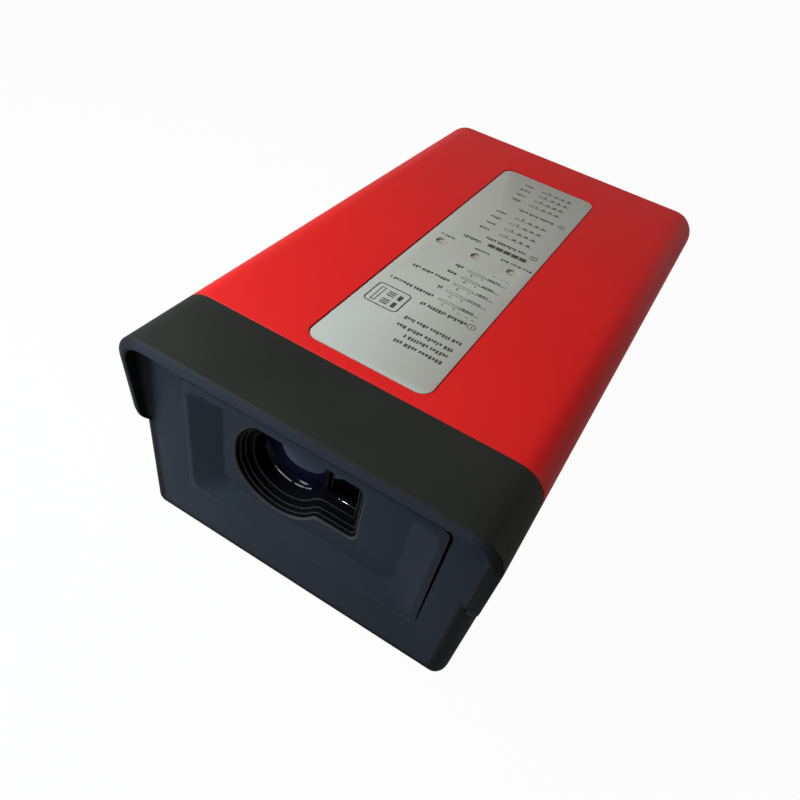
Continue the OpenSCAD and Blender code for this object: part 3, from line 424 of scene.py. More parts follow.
def carve(piece, tools):
    """Takes closed tools away from a piece and keeps the result as its mesh."""
    helpers = []
    for mesh in tools:
        helper = place_object("tool", mesh)
        change = piece.modifiers.new("carve", "BOOLEAN")
        change.operation = "DIFFERENCE"
        change.solver = "EXACT"
        change.object = helper
        helpers.append(helper)
    result = settled_mesh(piece)
    piece.modifiers.clear()
    old, piece.data = piece.data, result
    result.name = piece.name
    bpy.data.meshes.remove(old)
    for helper in helpers:
        mesh = helper.data
        bpy.data.objects.remove(helper)
        bpy.data.meshes.remove(mesh)


def upright_rings(outline, z0, z1):
    """XY outline (N, 2) as two rings, from z0 to z1."""
    return np.stack([lying(outline, z0), lying(outline, z1)])


def circle(x, y, r):
    """Points (N, 2) of a circle."""
    return np.stack([x + r * np.cos(TURN), y + r * np.sin(TURN)], 1)


def straight_bore(r, y0, y1, x, z):
    """Round tool along Y, past both ends of its hole."""
    return cutter(lathe([(r, y0 - PAST), (r, y1 + PAST)], x, z))


def led_tools(rear, z0, z1):
    """Upright tools of the three indicator holes."""
    holes = [circle(i * rear.led_pitch, LABEL_Y, rear.led_hole) for i in (-1, 0, 1)]
    return [cutter(upright_rings(hole, z0, z1)) for hole in holes]


def settings(context, *names):
    """Groups of sizes and colours that an operator reads."""
    return [getattr(context.scene, "sensor_" + name) for name in names]


# Finishes


def feed(tree, target, inputs):
    """Links a socket to each named input of a node, or sets the input where a plain value is given."""
    for key, value in inputs.items():
        if isinstance(value, bpy.types.NodeSocket):
            tree.links.new(value, target.inputs[key])
        else:
            target.inputs[key].default_value = value


def node(tree, kind, inputs=None, **settings):
    """New shader node with its own settings and its inputs."""
    made = tree.nodes.new("ShaderNode" + kind)
    for name, value in settings.items():
        setattr(made, name, value)
    feed(tree, made, inputs or {})
    return made


def finish_nodes(name):
    """New material with its tree, its shader and its object coordinates."""
    material = bpy.data.materials.new(name)
    material.use_nodes = True
    tree = material.node_tree
    tree.nodes.clear()
    shader = node(tree, "BsdfPrincipled")
    node(tree, "OutputMaterial", {0: shader.outputs[0]})
    return material, tree, shader, node(tree, "TexCoord").outputs["Object"]


def noise(tree, place, scale, detail=3.0, stretch=None):
    """Noise on object coordinates, in features per metre, stretched along the axes where that is given."""
    if stretch:
        place = node(tree, "Mapping", {"Vector": place, "Scale": stretch}).outputs[0]
    return node(tree, "TexNoise", {"Vector": place, "Scale": scale, "Detail": detail}).outputs[0]


def shades(tree, share, low, high):
    """Colour between two, by a share. Each of the two is a socket or a plain colour."""
    low, high = (c if isinstance(c, bpy.types.NodeSocket) else (*c, 1) for c in (low, high))
    return node(tree, "Mix", {0: share, 6: low, 7: high}, data_type="RGBA").outputs[2]


def between(tree, value, low, high, first=0.3, last=0.7):
    """Number from low to high while a value runs from first to last, as a noise does around its middle."""
    return node(tree, "MapRange", {"Value": value, "From Min": first, "From Max": last, "To Min": low,
                                   "To Max": high}).outputs[0]


def relief(tree, height, strength, depth):
    """Normal of a grain, from its height, its strength and its depth in millimetres."""
    return node(tree, "Bump", {"Height": height, "Strength": strength, "Distance": depth * MM}).outputs[0]


def reckoned(tree, operation, a, b):
    """Result of one operation on two sockets or numbers."""
    return node(tree, "Math", {0: a, 1: b}, operation=operation).outputs[0]


def marked(tree, name):
    """Share that a mesh attribute gives each point."""
    return node(tree, "Attribute", attribute_name=name).outputs["Fac"]


def coated(name, colour, rough, mottle=0.06, blotch=60, grain=2500, bump=0.15, depth=0.02, metal=0.0,
           spread=0.05, specular=0.5, stretch=None):
    """Finish with blotchy colour, uneven gloss and a fine grain.

    mottle is the share by which the colour varies, blotch and grain are features per metre, bump and
    depth in millimetres give the grain's relief, and spread is how far the roughness varies."""
    material, tree, shader, place = finish_nodes(name)
    colour = np.array(colour)
    cloud = noise(tree, place, blotch)
    feed(tree, shader, {
        "Base Color": shades(tree, between(tree, cloud, 0, 1), colour * (1 - mottle), colour * (1 + mottle)),
        "Roughness": between(tree, cloud, rough - spread, rough + spread),
        "Normal": relief(tree, noise(tree, place, grain, 2.0, stretch), bump, depth),
        "Metallic": metal,
        "Specular IOR Level": specular,
    })
    return material


def black_coating(name, colours, specular):
    """Textured black coating of the cap and the rear cover."""
    return coated(name, colours.cap_black, 0.52, mottle=0.12, blotch=40, grain=4200, bump=0.35, depth=0.03,
                  specular=specular)


def dress(material, *nodes):
    """Gives CAD nodes that stay a finish in place of their plain one."""
    for name in nodes:
        mesh = frame["nodes"][name].data
        mesh.materials.clear()
        mesh.materials.append(material)


# Outlines of this sensor


def body_ring(sizes, inset=0.0):
    """Outer outline of the body, moved inward."""
    outline, inward = rounded_ring(-HALF_W, HALF_W, 0, TOP_Z, sizes.top_corner, sizes.base_corner)
    return outline + inset * inward


def cavity_ring(sizes, inset):
    """Hollow of the body, moved inward."""
    half = HALF_W - sizes.wall - inset
    r_top = max(sizes.top_corner - sizes.wall - inset, LEAST_R)
    top = TOP_Z - sizes.wall - inset
    return rounded_ring(-half, half, sizes.floor_t + inset, top, r_top, HOLLOW_CORNER)[0]


def bezel_limits(bezel, wide=0.0, narrow=0.0):
    """Left, right, lower and upper edge of the bezel, or of its hole with the gaps added."""
    return (
        bezel.left - HALF_W - narrow,
        HALF_W - bezel.right + wide,
        bezel.base - narrow,
        TOP_Z - bezel.top + wide,
    )


def rim_limits(bezel):
    """Left, right, lower and upper edge of the pocket's rim."""
    x0, x1, z0, z1 = bezel_limits(bezel)
    return x0 + bezel.rim_side, x1 - bezel.rim_side, z0 + bezel.rim_base, z1 - bezel.rim_top


def receiver_axis(bezel):
    """X and Z of the receiver's axis."""
    x0, x1, z0, z1 = rim_limits(bezel)
    return np.array([(x0 + x1) / 2 - bezel.shift, (z0 + z1) / 2])


def keyhole(bezel, inset):
    """Closed outline (P, 2) of the well: a raised circle, a blend, and a lower square part.

    The blend circle touches the round part and the lower edge, so its centre lies one blend radius below
    that edge and at the sum of both radii from the receiver's axis."""
    r = bezel.receiver - inset
    top = bezel.key_top - inset
    first = math.asin((top - bezel.rise) / r)
    shoulder = max(bezel.key_shoulder - inset, LEAST_R)
    base = inset - bezel.drop
    end = bezel.reach - inset
    corner = max(bezel.key_corner - inset, LEAST_R)
    blend = max(bezel.key_blend + inset, LEAST_R)
    low = base - blend
    side = math.sqrt((r + blend) ** 2 - low**2)
    lean = math.atan2(low, side)

    def arc(x, z, radius, first, last):
        turn = np.linspace(first, last, 240)
        return np.stack([x + radius * np.cos(turn), z + radius * np.sin(turn)], 1)

    def run(x0, z0, x1, z1):
        share = np.linspace(0, 1, 120)[1:-1, None]
        return np.array([x0, z0]) + share * np.array([x1 - x0, z1 - z0])

    quarter = math.pi / 2
    outline = np.concatenate([
        arc(0, bezel.rise, r, first, 2 * quarter),
        run(-r, bezel.rise, -r, 0),
        arc(0, 0, r, 2 * quarter, 4 * quarter + lean),
        arc(side, low, blend, lean + 2 * quarter, quarter),
        run(side, base, end - corner, base),
        arc(end - corner, base + corner, corner, -quarter, 0),
        run(end, base + corner, end, top - shoulder),
        arc(end - shoulder, top - shoulder, shoulder, 0, quarter),
        run(end - shoulder, top, r * math.cos(first), top),
    ])
    return outline + receiver_axis(bezel)


def visor_front(sizes, z):
    """Y of the visor's front edge at height z: a raked line, then the lip's round corner, then the face."""
    lean = math.tan(sizes.visor_rake)
    lip_z = TOP_Z - sizes.lip_drop
    centre_y = (sizes.lip_drop - sizes.lip_corner) * lean - sizes.visor_reach
    centre_y += sizes.lip_corner / math.cos(sizes.visor_rake)
    centre_z = lip_z + sizes.lip_corner
    line = (TOP_Z - z) * lean - sizes.visor_reach
    drop = np.maximum(sizes.lip_corner**2 - (z - centre_z) ** 2, 0)
    turn_z = centre_z - sizes.lip_corner * math.sin(sizes.visor_rake)
    bend = np.where(z > centre_z - sizes.lip_corner, centre_y - np.sqrt(drop), 0)
    return np.minimum(np.where(z > turn_z, line, bend), 0)


# Pieces


class SENSOR_OT_sleeve(bpy.types.Operator):
    """Red sleeve: the body's outline carried along Y, with the label pocket and all holes cut"""

    bl_idname = "sensor.sleeve"
    bl_label = "Sleeve"

    def execute(self, context):
        sizes, rear, colours = settings(context, "body", "rear", "colours")
        control = np.stack([
            standing(body_ring(sizes), sizes.cap_depth),
            standing(body_ring(sizes), END_Y),
            standing(cavity_ring(sizes, 0), END_Y),
            standing(cavity_ring(sizes, 0), sizes.cap_depth),
        ])
        rings = soft_corners(control, [sizes.seam_edge, sizes.rear_edge, 0, 0], 6, True)
        paint = coated("red_satin_paint", colours.red_paint, 0.42, mottle=0.03, blotch=25, grain=1400,
                       bump=0.16, spread=0.03, specular=0.08)
        make_piece("sleeve", rings, paint, ["housing_sleeve"], True, cutters=self.tools(rear))
        return {"FINISHED"}

    def tools(self, rear):
        """Label pocket, indicator holes, mounting threads and countersinks, from their CAD places."""
        low = LABEL_LOW - rear.label_gap
        high = LABEL_HIGH + rear.label_gap
        corner = rear.label_corner + rear.label_gap
        pocket, _ = rounded_ring(low[0], high[0], low[1] - FRONT_Y, high[1] - FRONT_Y, corner, corner)
        blind, through = 4 * MM, 6 * MM
        tools = [cutter(upright_rings(pocket, LABEL_LOW[2], TOP_Z + PAST))]
        tools += led_tools(rear, TOP_Z - through, TOP_Z + PAST)
        mounts = {m["name"]: m for m in frame["record"]["mounts"]}["base_threads"]
        dims = mounts["dims"]
        for x in (-0.5, 0.5):
            for y in (-0.5, 0.5):
                hole = circle(x * dims["spacing_x_mm"] * MM,
                              mounts["pos_m"][1] - FRONT_Y + y * dims["spacing_y_mm"] * MM,
                              dims["hole_r_mm"] * MM)
                tools.append(cutter(upright_rings(hole, -PAST, blind)))
        low, high = node_box("floor_screws")
        shank, head = rear.shank_r + FIT, rear.head_r + FIT
        profile = [(head, -PAST), (head, 0.2 * MM), (shank, 1.7 * MM), (shank, through)]
        y = (low[1] + high[1]) / 2 - FRONT_Y
        for x in (low[0] + rear.head_r, high[0] - rear.head_r):
            tools.append(cutter(np.stack([lying(circle(x, y, r), z) for r, z in profile])))
        return tools


class SENSOR_OT_cap(bpy.types.Operator):
    """Black cap: one profile carried round the body's outline, with the visor's reach set by the height"""

    bl_idname = "sensor.cap"
    bl_label = "Front cap"

    def execute(self, context):
        sizes, bezel, colours = settings(context, "body", "bezel", "colours")
        hole_limits = bezel_limits(bezel, bezel.gap_wide, bezel.gap_narrow)
        hole, _ = rounded_ring(*hole_limits, bezel.corner + bezel.gap_wide, bezel.corner + bezel.gap_narrow)
        outer = body_ring(sizes)
        inner = body_ring(sizes, sizes.visor_t)
        edge = body_ring(sizes, sizes.bevel_drop)
        reach = -visor_front(sizes, inner[:, 1])
        full_lip, face_run, steps = 1.2 * MM, 3.5 * MM, 7
        lip = np.clip(reach / full_lip, 0, 1)
        inward = rounded_ring(-HALF_W, HALF_W, 0, TOP_Z, sizes.top_corner, sizes.base_corner)[1]
        side = np.abs(inward[:, 0])
        low_bevel = (sizes.side_bevel * side + sizes.base_bevel * np.maximum(inward[:, 1], 0)) * (1 - lip)
        far = self.inset_ring(sizes, sizes.visor_t + face_run, sizes.visor_t + face_run)
        near = self.inset_ring(sizes, sizes.shade_band_side + sizes.shade_band_fade, sizes.shade_band_base + sizes.shade_band_fade)
        band = near + lip[:, None] * (far - near)
        low_inner = self.inset_ring(sizes, sizes.shade_band_side, sizes.shade_band_base)
        inner = low_inner + lip[:, None] * (inner - low_inner)
        spigot_end = sizes.cap_depth + sizes.spigot_depth
        cap_inset = sizes.spigot_gap + sizes.spigot_wall
        control = np.stack([
            standing(hole, sizes.face_t),
            standing(hole, 0),
            standing(band, 0),
            standing(inner, 0),
            standing(inner, -reach),
            standing(edge, visor_front(sizes, edge[:, 1])),
            standing(outer, visor_front(sizes, outer[:, 1]) + sizes.bevel_depth + low_bevel),
            standing(outer, sizes.cap_depth),
            standing(cavity_ring(sizes, sizes.spigot_gap), sizes.cap_depth),
            standing(cavity_ring(sizes, sizes.spigot_gap), spigot_end),
            standing(cavity_ring(sizes, cap_inset), spigot_end),
            standing(cavity_ring(sizes, cap_inset), sizes.face_t),
        ])
        low_edge = sizes.crisp_edge * lip + sizes.face_edge * (1 - lip)
        top_edge = sizes.soft_edge * lip + sizes.face_edge * (1 - lip)
        ease = [0, 0.02 * MM, 0, np.minimum(sizes.visor_root, reach), 0.25 * MM * lip, low_edge, top_edge,
                sizes.seam_edge, 0, 0.3 * MM, 0.3 * MM, 0]
        rings = soft_corners(control, ease, steps, True)
        foot = steps + 2
        front, last = foot + steps, foot + 3 * steps + 4
        # Painted shade on the lower front edges and on the side lips' bevel and front edge
        edges = np.zeros(rings.shape[:2])
        edges[foot:last] = 1 - lip
        edges[foot:front] += np.linspace(0, 1, steps)[:, None] * lip * side
        edges[front:last] += 0.95 * lip * side
        coat = black_coating("cap_black_coating", colours, 0.05)
        self.paint_light_and_shade(coat, colours)
        cap = make_piece("cap", rings, coat, ["front_cap"], True, edges=edges)
        # Painted bluish reflection on the faces that look to the front
        mark_front_reflection(cap.data)
        return {"FINISHED"}

    def inset_ring(self, sizes, side, base):
        """Outline of the body moved inward at the sides and at top and bottom, with small lower corners."""
        return rounded_ring(side - HALF_W, HALF_W - side, base, TOP_Z - base, sizes.top_corner - base,
                            max(sizes.base_corner - base, 0.9 * MM))[0]

    def paint_light_and_shade(self, coat, colours):
        """Paints a bluish reflection on what looks to the front, and painted shade as a deep black on the
        edges.
        """
        tree = coat.node_tree
        shader = tree.nodes["Principled BSDF"]
        colour = shader.inputs["Base Color"].links[0].from_socket
        for name, shade in ((FRONT_REFLECTION_SHARE, colours.front_reflection_tint), (EDGE_LIGHT_SHARE, colours.shade_black)):
            colour = shades(tree, marked(tree, name), colour, shade)
        feed(tree, shader, {"Base Color": colour})


class SENSOR_OT_bezel(bpy.types.Operator):
    """Optics bezel: tapered pocket and stepped keyhole well, as rings in polar form about one centre"""

    bl_idname = "sensor.bezel"
    bl_label = "Optics bezel"

    def execute(self, context):
        sizes, bezel, colours = settings(context, "body", "bezel", "colours")
        axis = receiver_axis(bezel)
        centre = axis + WELL_CENTRE
        limits = bezel_limits(bezel)
        rim = rim_limits(bezel)
        x0, x1, z0, z1 = rim
        floor = (x0 + bezel.side_run, x1 - bezel.side_run, z0 + bezel.base_run, z1 - bezel.top_run)
        lap = bezel.flange_lap + bezel.gap_wide
        wide = (limits[0] - lap, limits[1] + lap, limits[2] - lap, limits[3] + lap)

        def ring(outline, y):
            radius = polar_radius(outline, centre)
            return np.stack([centre[0] + radius * np.cos(POLAR), np.full(len(POLAR), y),
                             centre[1] + radius * np.sin(POLAR)], 1)

        def box_ring(edges, r, y):
            return ring(self.dense(*edges, r), y)

        flange_y0 = sizes.face_t + bezel.seal_t
        flange_y1 = flange_y0 + bezel.flange_t
        deep = bezel.depth + np.concatenate([[0], np.cumsum(LEDGES[:, 1])])
        back = deep[-1] + bezel.back_t
        boss = keyhole(bezel, -bezel.well_wall)
        control = [
            ring(boss, back), ring(boss, flange_y1),
            box_ring(wide, bezel.corner + lap, flange_y1), box_ring(wide, bezel.corner + lap, flange_y0),
            ring(self.fitted(limits, bezel), flange_y0), ring(self.fitted(limits, bezel), 0),
            box_ring(rim, bezel.rim_corner, 0), box_ring(floor, bezel.floor_corner, bezel.depth),
        ]
        ease = [0, 0, 0.2 * MM, 0.2 * MM, 0, 0.02 * MM, bezel.rim_ease, bezel.floor_ease]
        for i, inset in enumerate(LEDGES[:, 0]):
            control += [ring(keyhole(bezel, inset), deep[i]), ring(keyhole(bezel, inset), deep[i + 1])]
            ease += [bezel.ledge_ease if i else bezel.well_ease, bezel.ledge_ease / 2]
        steps = 6
        rings = soft_corners(np.stack(control), ease, steps)
        # Painted highlight on the well's upper edge and on the ledges' front edges
        edges = np.zeros((len(rings), 1))
        first = len(rings) - 1 - 2 * steps * len(LEDGES) + steps
        for i in range(first, len(rings), 2 * steps):
            edges[i + 1:i + steps - 1] = 1
        make_piece("bezel", rings, self.moulding(colours, bezel), ["optics_bezel"],
                   cutters=self.apertures(bezel, axis, deep[-1], back), edges=edges)
        return {"FINISHED"}

    def dense(self, x0, x1, z0, z1, r):
        """Rounded rectangle as a dense outline for polar rings."""
        outline, _ = rounded_ring(x0, x1, z0, z1, r, r)
        closed = np.concatenate([outline, outline[:1]])
        share = np.arange(len(closed))
        fine = np.linspace(0, len(closed) - 1, 12 * len(closed))[:-1]
        return np.stack([np.interp(fine, share, closed[:, k]) for k in (0, 1)], 1)

    def fitted(self, limits, bezel):
        """Outer edge of the bezel, whose gap at the right runs to a point at its lower end.

        With t from 0 to 1 up that side, the gap keeps the share sqrt(min(10 t, 1)) (1 + t) / 2
        of its width."""
        outline = self.dense(*limits, bezel.corner)
        x0, x1, z0, z1 = limits
        t = np.clip((outline[:, 1] - z0 - bezel.corner) / (z1 - z0 - bezel.corner), 0, 1)
        share = np.sqrt(np.minimum(10 * t, 1)) * (1 + t) / 2
        right = outline[:, 0] > (x0 + x1) / 2
        outline[:, 0] += np.where(right, 0.98 * bezel.gap_wide * (1 - share), 0)
        return outline

    def apertures(self, bezel, axis, front, back):
        """Round tool of the receiver and square tool of the laser."""
        r = bezel.receiver - bezel.aperture
        x0 = axis[0] + r + bezel.divider
        x1 = axis[0] + bezel.reach - bezel.aperture
        z0 = axis[1] - bezel.drop + bezel.aperture
        z1 = axis[1] + r
        square = np.array([[x0, z0], [x1, z0], [x1, z1], [x0, z1]])
        return [straight_bore(r, front, back, *axis),
                cutter(np.stack([standing(square, front - PAST), standing(square, back + PAST)]))]

    def moulding(self, colours, bezel):
        """Blue-black moulding with painted shade, deep black below the pocket's floor, and painted highlights
        on edges there.
        """
        material, tree, shader, place = finish_nodes("bezel_moulding")
        cloud = noise(tree, place, 45)
        face = np.array(colours.bezel_black)
        start = FRONT_Y + bezel.depth
        y = node(tree, "SeparateXYZ", {0: place}).outputs["Y"]
        # Painted shade: deeper than the pocket's floor the moulding turns deep black and less glossy
        depth = between(tree, y, 0, 1, start + 0.35 * MM, start + 0.7 * MM)
        colour = shades(tree, between(tree, cloud, 0, 1), face * 0.9, face * 1.1)
        colour = shades(tree, depth, colour, colours.shade_black)
        feed(tree, shader, {
            # Painted highlight on the marked edges
            "Base Color": shades(tree, marked(tree, EDGE_LIGHT_SHARE), colour, colours.ledge_highlight_grey),
            "Roughness": between(tree, cloud, 0.42, 0.5),
            "Specular IOR Level": between(tree, depth, 0.05, 0.02, 0, 1),
            "Normal": relief(tree, noise(tree, place, 3600, 2.0), 0.18, 0.02),
        })
        return material


class SENSOR_OT_optics(bpy.types.Operator):
    """Coated receiver lens with a dome and a flat rim, its retainer, and the pin under the laser window"""

    bl_idname = "sensor.optics"
    bl_label = "Optics"

    def execute(self, context):
        bezel, colours = settings(context, "bezel", "colours")
        axis = receiver_axis(bezel)
        foot = bezel.receiver - bezel.aperture - FIT
        rim_t, chamfer = 2.4 * MM, 0.1 * MM
        rim_r = (LENS_HIGH[0] - LENS_LOW[0]) / 2
        back = LENS_HIGH[1] - FRONT_Y
        front = LENS_LOW[1] - FRONT_Y
        edge = back - rim_t
        sag = edge - front
        dome = (foot**2 + sag**2) / (2 * sag)
        radius = foot * np.linspace(0, 1, 40)
        cap = np.stack([radius, front + dome - np.sqrt(dome**2 - radius**2)], 1)
        tail = np.array([[rim_r - chamfer, edge], [rim_r, edge + chamfer], [rim_r, back], [0, back]])
        material, tree, shader, place = finish_nodes("lens_violet_coat")
        cloud = noise(tree, place, 90)
        body = np.array(colours.lens_violet)
        feed(tree, shader, {
            "Base Color": shades(tree, cloud, body * 0.7, body * 1.4), "Roughness": 0.03, "IOR": 1.9,
            "Specular Tint": (*colours.lens_sheen, 1), "Coat Weight": 0.1, "Coat Roughness": 0.02,
        })
        make_piece("lens", lathe(np.concatenate([cap, tail]), *axis), material,
                   ["receiver_lens"])
        polish = coated("polished_steel", (0.32, 0.32, 0.31), 0.1, mottle=0.05, blotch=300, grain=4000,
                        bump=0.03, metal=1.0, spread=0.03)
        self.retainer(polish, axis, foot)
        self.pin(polish, axis)
        return {"FINISHED"}

    def retainer(self, polish, axis, foot):
        """Ring on the lens's flat rim, with two bevelled lugs that enter the bezel's aperture.

        Each lug is one section of radius and y, turned about the receiver's axis over its angle."""
        low, high = node_box("lens_retainer")
        y0, y1 = low[1] - FRONT_Y, high[1] - FRONT_Y
        bore, outer = foot + 0.1 * MM, (high[0] - low[0]) / 2
        ring = lathe([(bore, y0), (outer, y0), (outer, y1), (bore, y1)], *axis)
        make_piece("retainer", soft_corners(ring, [0.05 * MM] * 4, 4, True), polish,
                   ["lens_retainer"], True)
        section = np.array([[7.60, -0.07], [7.82, -0.20], [7.87, -0.20], [7.87, 0.02], [7.96, 0.05],
                            [7.96, 0.16], [7.60, 0.02]]) * MM + np.array([0, y0])
        for i, (first, last) in enumerate(((-131, -94.5), (-88.5, -56))):
            turn = np.radians(np.linspace(first, last, 24))
            rings = np.swapaxes(lathe(section, *axis, turn), 0, 1)
            make_piece(f"retainer_lug_{i + 1}", rings, polish, ["lens_retainer"], sharp=20)

    def pin(self, polish, axis):
        """Turned pin in front of the laser window: radius along X, from bead over shank to head."""
        x = np.array([4.50, 4.53, 4.62, 4.74, 4.86, 4.95, 5.50, 5.60, 8.88, 8.92, 8.96, 9.24, 9.28,
                      9.28]) * MM
        r = np.array([0, 0.10, 0.19, 0.22, 0.19, 0.05, 0.05, 0.11, 0.11, 0.24, 0.28, 0.28, 0.24, 0]) * MM
        turn = TURN[::3]
        y, z = 8.05 * MM, axis[1] - 2.62 * MM
        x, r = np.broadcast_to(x[:, None], (len(x), len(turn))), r[:, None]
        rings = np.stack([x, y + r * np.cos(turn), z + r * np.sin(turn)], 2)
        make_piece("window_pin", rings, polish)


PIN_ROWS = (45.9, 49.7, 53.2, 56.7, 60.2)
PORT_ROWS = (80.5, 84.0, 87.6, 91.2, 100.8, 104.2, 107.7, 110.9)
TITLE_ROWS = (41.9, 76.5, 96.2)


def ellipse(x, y, across, along):
    """Points (N, 2) of an ellipse, from millimetres."""
    return MM * np.stack([x + across * np.cos(TURN), y + along * np.sin(TURN)], 1)


class SENSOR_OT_label(bpy.types.Operator):
    """Label plate with three holes, and its generic print of bars, rings and plain pin numbers"""

    bl_idname = "sensor.label"
    bl_label = "Label"

    def execute(self, context):
        rear, colours = settings(context, "rear", "colours")
        y0, y1 = LABEL_LOW[1] - FRONT_Y, LABEL_HIGH[1] - FRONT_Y
        corner = rear.label_corner
        outline, inward = rounded_ring(LABEL_LOW[0], LABEL_HIGH[0], y0, y1, corner, corner)
        low, top = LABEL_LOW[2], LABEL_HIGH[2]
        levels = [(0, low), (0, top - 0.2 * MM), (0.06 * MM, top - 0.06 * MM), (0.2 * MM, top)]
        rings = np.stack([lying(outline + inset * inward, z) for inset, z in levels])
        holes = led_tools(rear, low - PAST, top + PAST)
        film = coated("label_silver_film", colours.label_silver, 0.5, mottle=0.02, blotch=30, grain=900,
                      bump=0.04, depth=0.01, spread=0.03, specular=0.04, stretch=(1, 0.1, 1))
        make_piece("label", rings, film, ["label_plate"], cutters=holes)
        ink = coated("label_print", colours.print_grey, 0.5, mottle=0.15, blotch=400, grain=4000, bump=0.05)
        self.bars(ink)
        self.rings(ink)
        self.numbers(ink)
        self.windows(rear)
        return {"FINISHED"}

    def windows(self, rear):
        """Light guide's three posts, which show in the holes.

        Their tops dish by 1 less the square of the radius' share."""
        low, _ = node_box("light_guide")
        guide = coated("guide_moulding", (0.36, 0.33, 0.27), 0.4, mottle=0.12, blotch=700, grain=900,
                       bump=0.05)
        guide.node_tree.nodes["Principled BSDF"].inputs["Subsurface Weight"].default_value = 0.2
        top = LABEL_HIGH[2] - rear.window_drop
        r = rear.led_hole - 0.06 * MM
        radius = np.array([r, r, 0.93 * r, 0.8 * r, 0.6 * r, 0.35 * r, 0])
        dish = top - 0.18 * MM * (1 - (radius / r) ** 2)
        dish[0], dish[1] = low[2], top - 0.05 * MM
        for i in (-1, 0, 1):
            rings = [lying(circle(i * rear.led_pitch, LABEL_Y, max(q, 1e-6)), z)
                     for q, z in zip(radius, dish)]
            make_piece(f"light_guide_{i + 2}", np.stack(rings), guide, ["light_guide"])

    def print_plan(self):
        """Bars as (x0, x1, y, height) in millimetres: lines cut into short strokes, by one fixed seed."""
        draw = np.random.default_rng(7)
        rows = [(10.8, 0.2, 27.7, 1.1), (10.8, 1.4, 30.1, 1.1), (10.8, -1.6, 32.4, 1.1),
                (11.2, -1.7, 35.4, 1.1), (9.2, -1.3, 41.9, 1.2), (8.2, -2.1, 76.7, 1.1),
                (8.2, -1.7, 96.2, 1.1),
                (-0.4, -11.1, 45.8, 1.0), (-0.4, -1.8, 49.9, 1.2), (-0.4, -9.6, 53.3, 1.0),
                (-0.4, -3.0, 56.7, 1.2), (-0.4, -2.6, 60.3, 1.2), (12.3, 4.6, 70.3, 0.8),
                (1.8, -1.8, 70.1, 0.8), (-7.3, -11.0, 70.1, 0.8), (-2.1, -6.5, 73.5, 1.2)]
        rows += [(-2.9, -5.6, y, 0.9) for y in PORT_ROWS]
        rows += [(8.8, 5.8, y + 0.15, 0.7) for y in PIN_ROWS]
        bars = []
        for right, left, y, height in rows:
            x, word = right, draw.integers(3, 8)
            while x > left + 0.3:
                stroke = draw.uniform(0.34, 0.62)
                tall = height * draw.choice([0.72, 1.0])
                bars.append((max(x - stroke, left), x, y + (height - tall) / 2, tall))
                word -= 1
                x -= stroke + (0.2 if word else 0.55)
                word = word or draw.integers(3, 8)
        lines = [(5.5, 10.2, y - 0.35, 0.2) for y in PIN_ROWS]
        lines += [(2.0, 8.3, y - 0.2, 0.18) for y in PORT_ROWS]
        ticks = [(4.8, 5.0, y - 1.1, 0.8) for y in PIN_ROWS]
        ticks += [(x, x + 0.9, y + 0.35, 0.6) for y in PORT_ROWS for x in (3.2, 5.0, 6.8)]
        ticks += [(x, x + 0.7, y, 0.2) for x in (6.0, 7.9, 9.3) for y in (44.0, 62.4)]
        blocks = [(x, x + 1.75, 73.9, 1.5) for x in (-0.2, 1.8, 3.8, 5.8, 7.8)]
        sign = [(-9.95, -9.75, 38.6, 5.4), (-9.1, -8.9, 38.6, 5.4), (-9.95, -8.9, 36.0, 0.2),
                (-9.95, -8.9, 41.2, 0.2), (-5.5, -4.6, 37.1, 1.9), (-5.5, -4.6, 40.0, 1.9)]
        sign += [(-8.0, -6.2, y, 0.36) for y in (36.4, 37.1, 37.8, 39.4, 40.1, 40.8)]
        return np.array(bars + lines + ticks + blocks + sign)

    def bars(self, ink):
        """Each bar is a thin box: its limits give eight corners, and all boxes share one index list."""
        x0, x1, y, height = (self.print_plan() * MM).T
        z = np.full(len(x0), LABEL_HIGH[2])
        top = z + PRINT_T
        low, high = FRONT_Y + y - height / 2, FRONT_Y + y + height / 2
        corners = [(x0, low, z), (x1, low, z), (x1, high, z), (x0, high, z),
                   (x0, low, top), (x1, low, top), (x1, high, top), (x0, high, top)]
        points = np.stack([np.stack(c, 1) for c in corners], 1)
        sides = np.array([[0, 3, 2, 1], [4, 5, 6, 7], [0, 1, 5, 4], [1, 2, 6, 5], [2, 3, 7, 6], [3, 0, 4, 7]])
        faces = (sides + 8 * np.arange(len(x0))[:, None, None]).reshape(-1, 4)
        finish_piece("label_bars", points.reshape(-1, 3), faces.tolist(), ink, sharp=30)

    def rings(self, ink):
        """Frame of the sign, long rings of the pins and number rings: bands between two outlines."""
        bands = []
        for x, across, places in ((3.15, 2.45, PIN_ROWS), (0.8, 1.2, PORT_ROWS)):
            bands += [(ellipse(x, y, across, 0.48), ellipse(x, y, across - 0.2, 0.32)) for y in places]
        bands += [(ellipse(10.4, y, 0.95, 0.95), ellipse(10.4, y, 0.76, 0.76)) for y in TITLE_ROWS]
        outline, inward = rounded_ring(-11.2 * MM, -3.4 * MM, 34.9 * MM, 42.6 * MM, 1.1 * MM, 1.1 * MM)
        bands.append((outline, outline + 0.3 * MM * inward))
        for i, (outer, inner) in enumerate(bands):
            low, high = LABEL_HIGH[2], LABEL_HIGH[2] + PRINT_T
            section = np.stack([lying(outer, low), lying(outer, high), lying(inner, high), lying(inner, low)])
            make_piece(f"label_ring_{i + 1}", section, ink, loop=True)

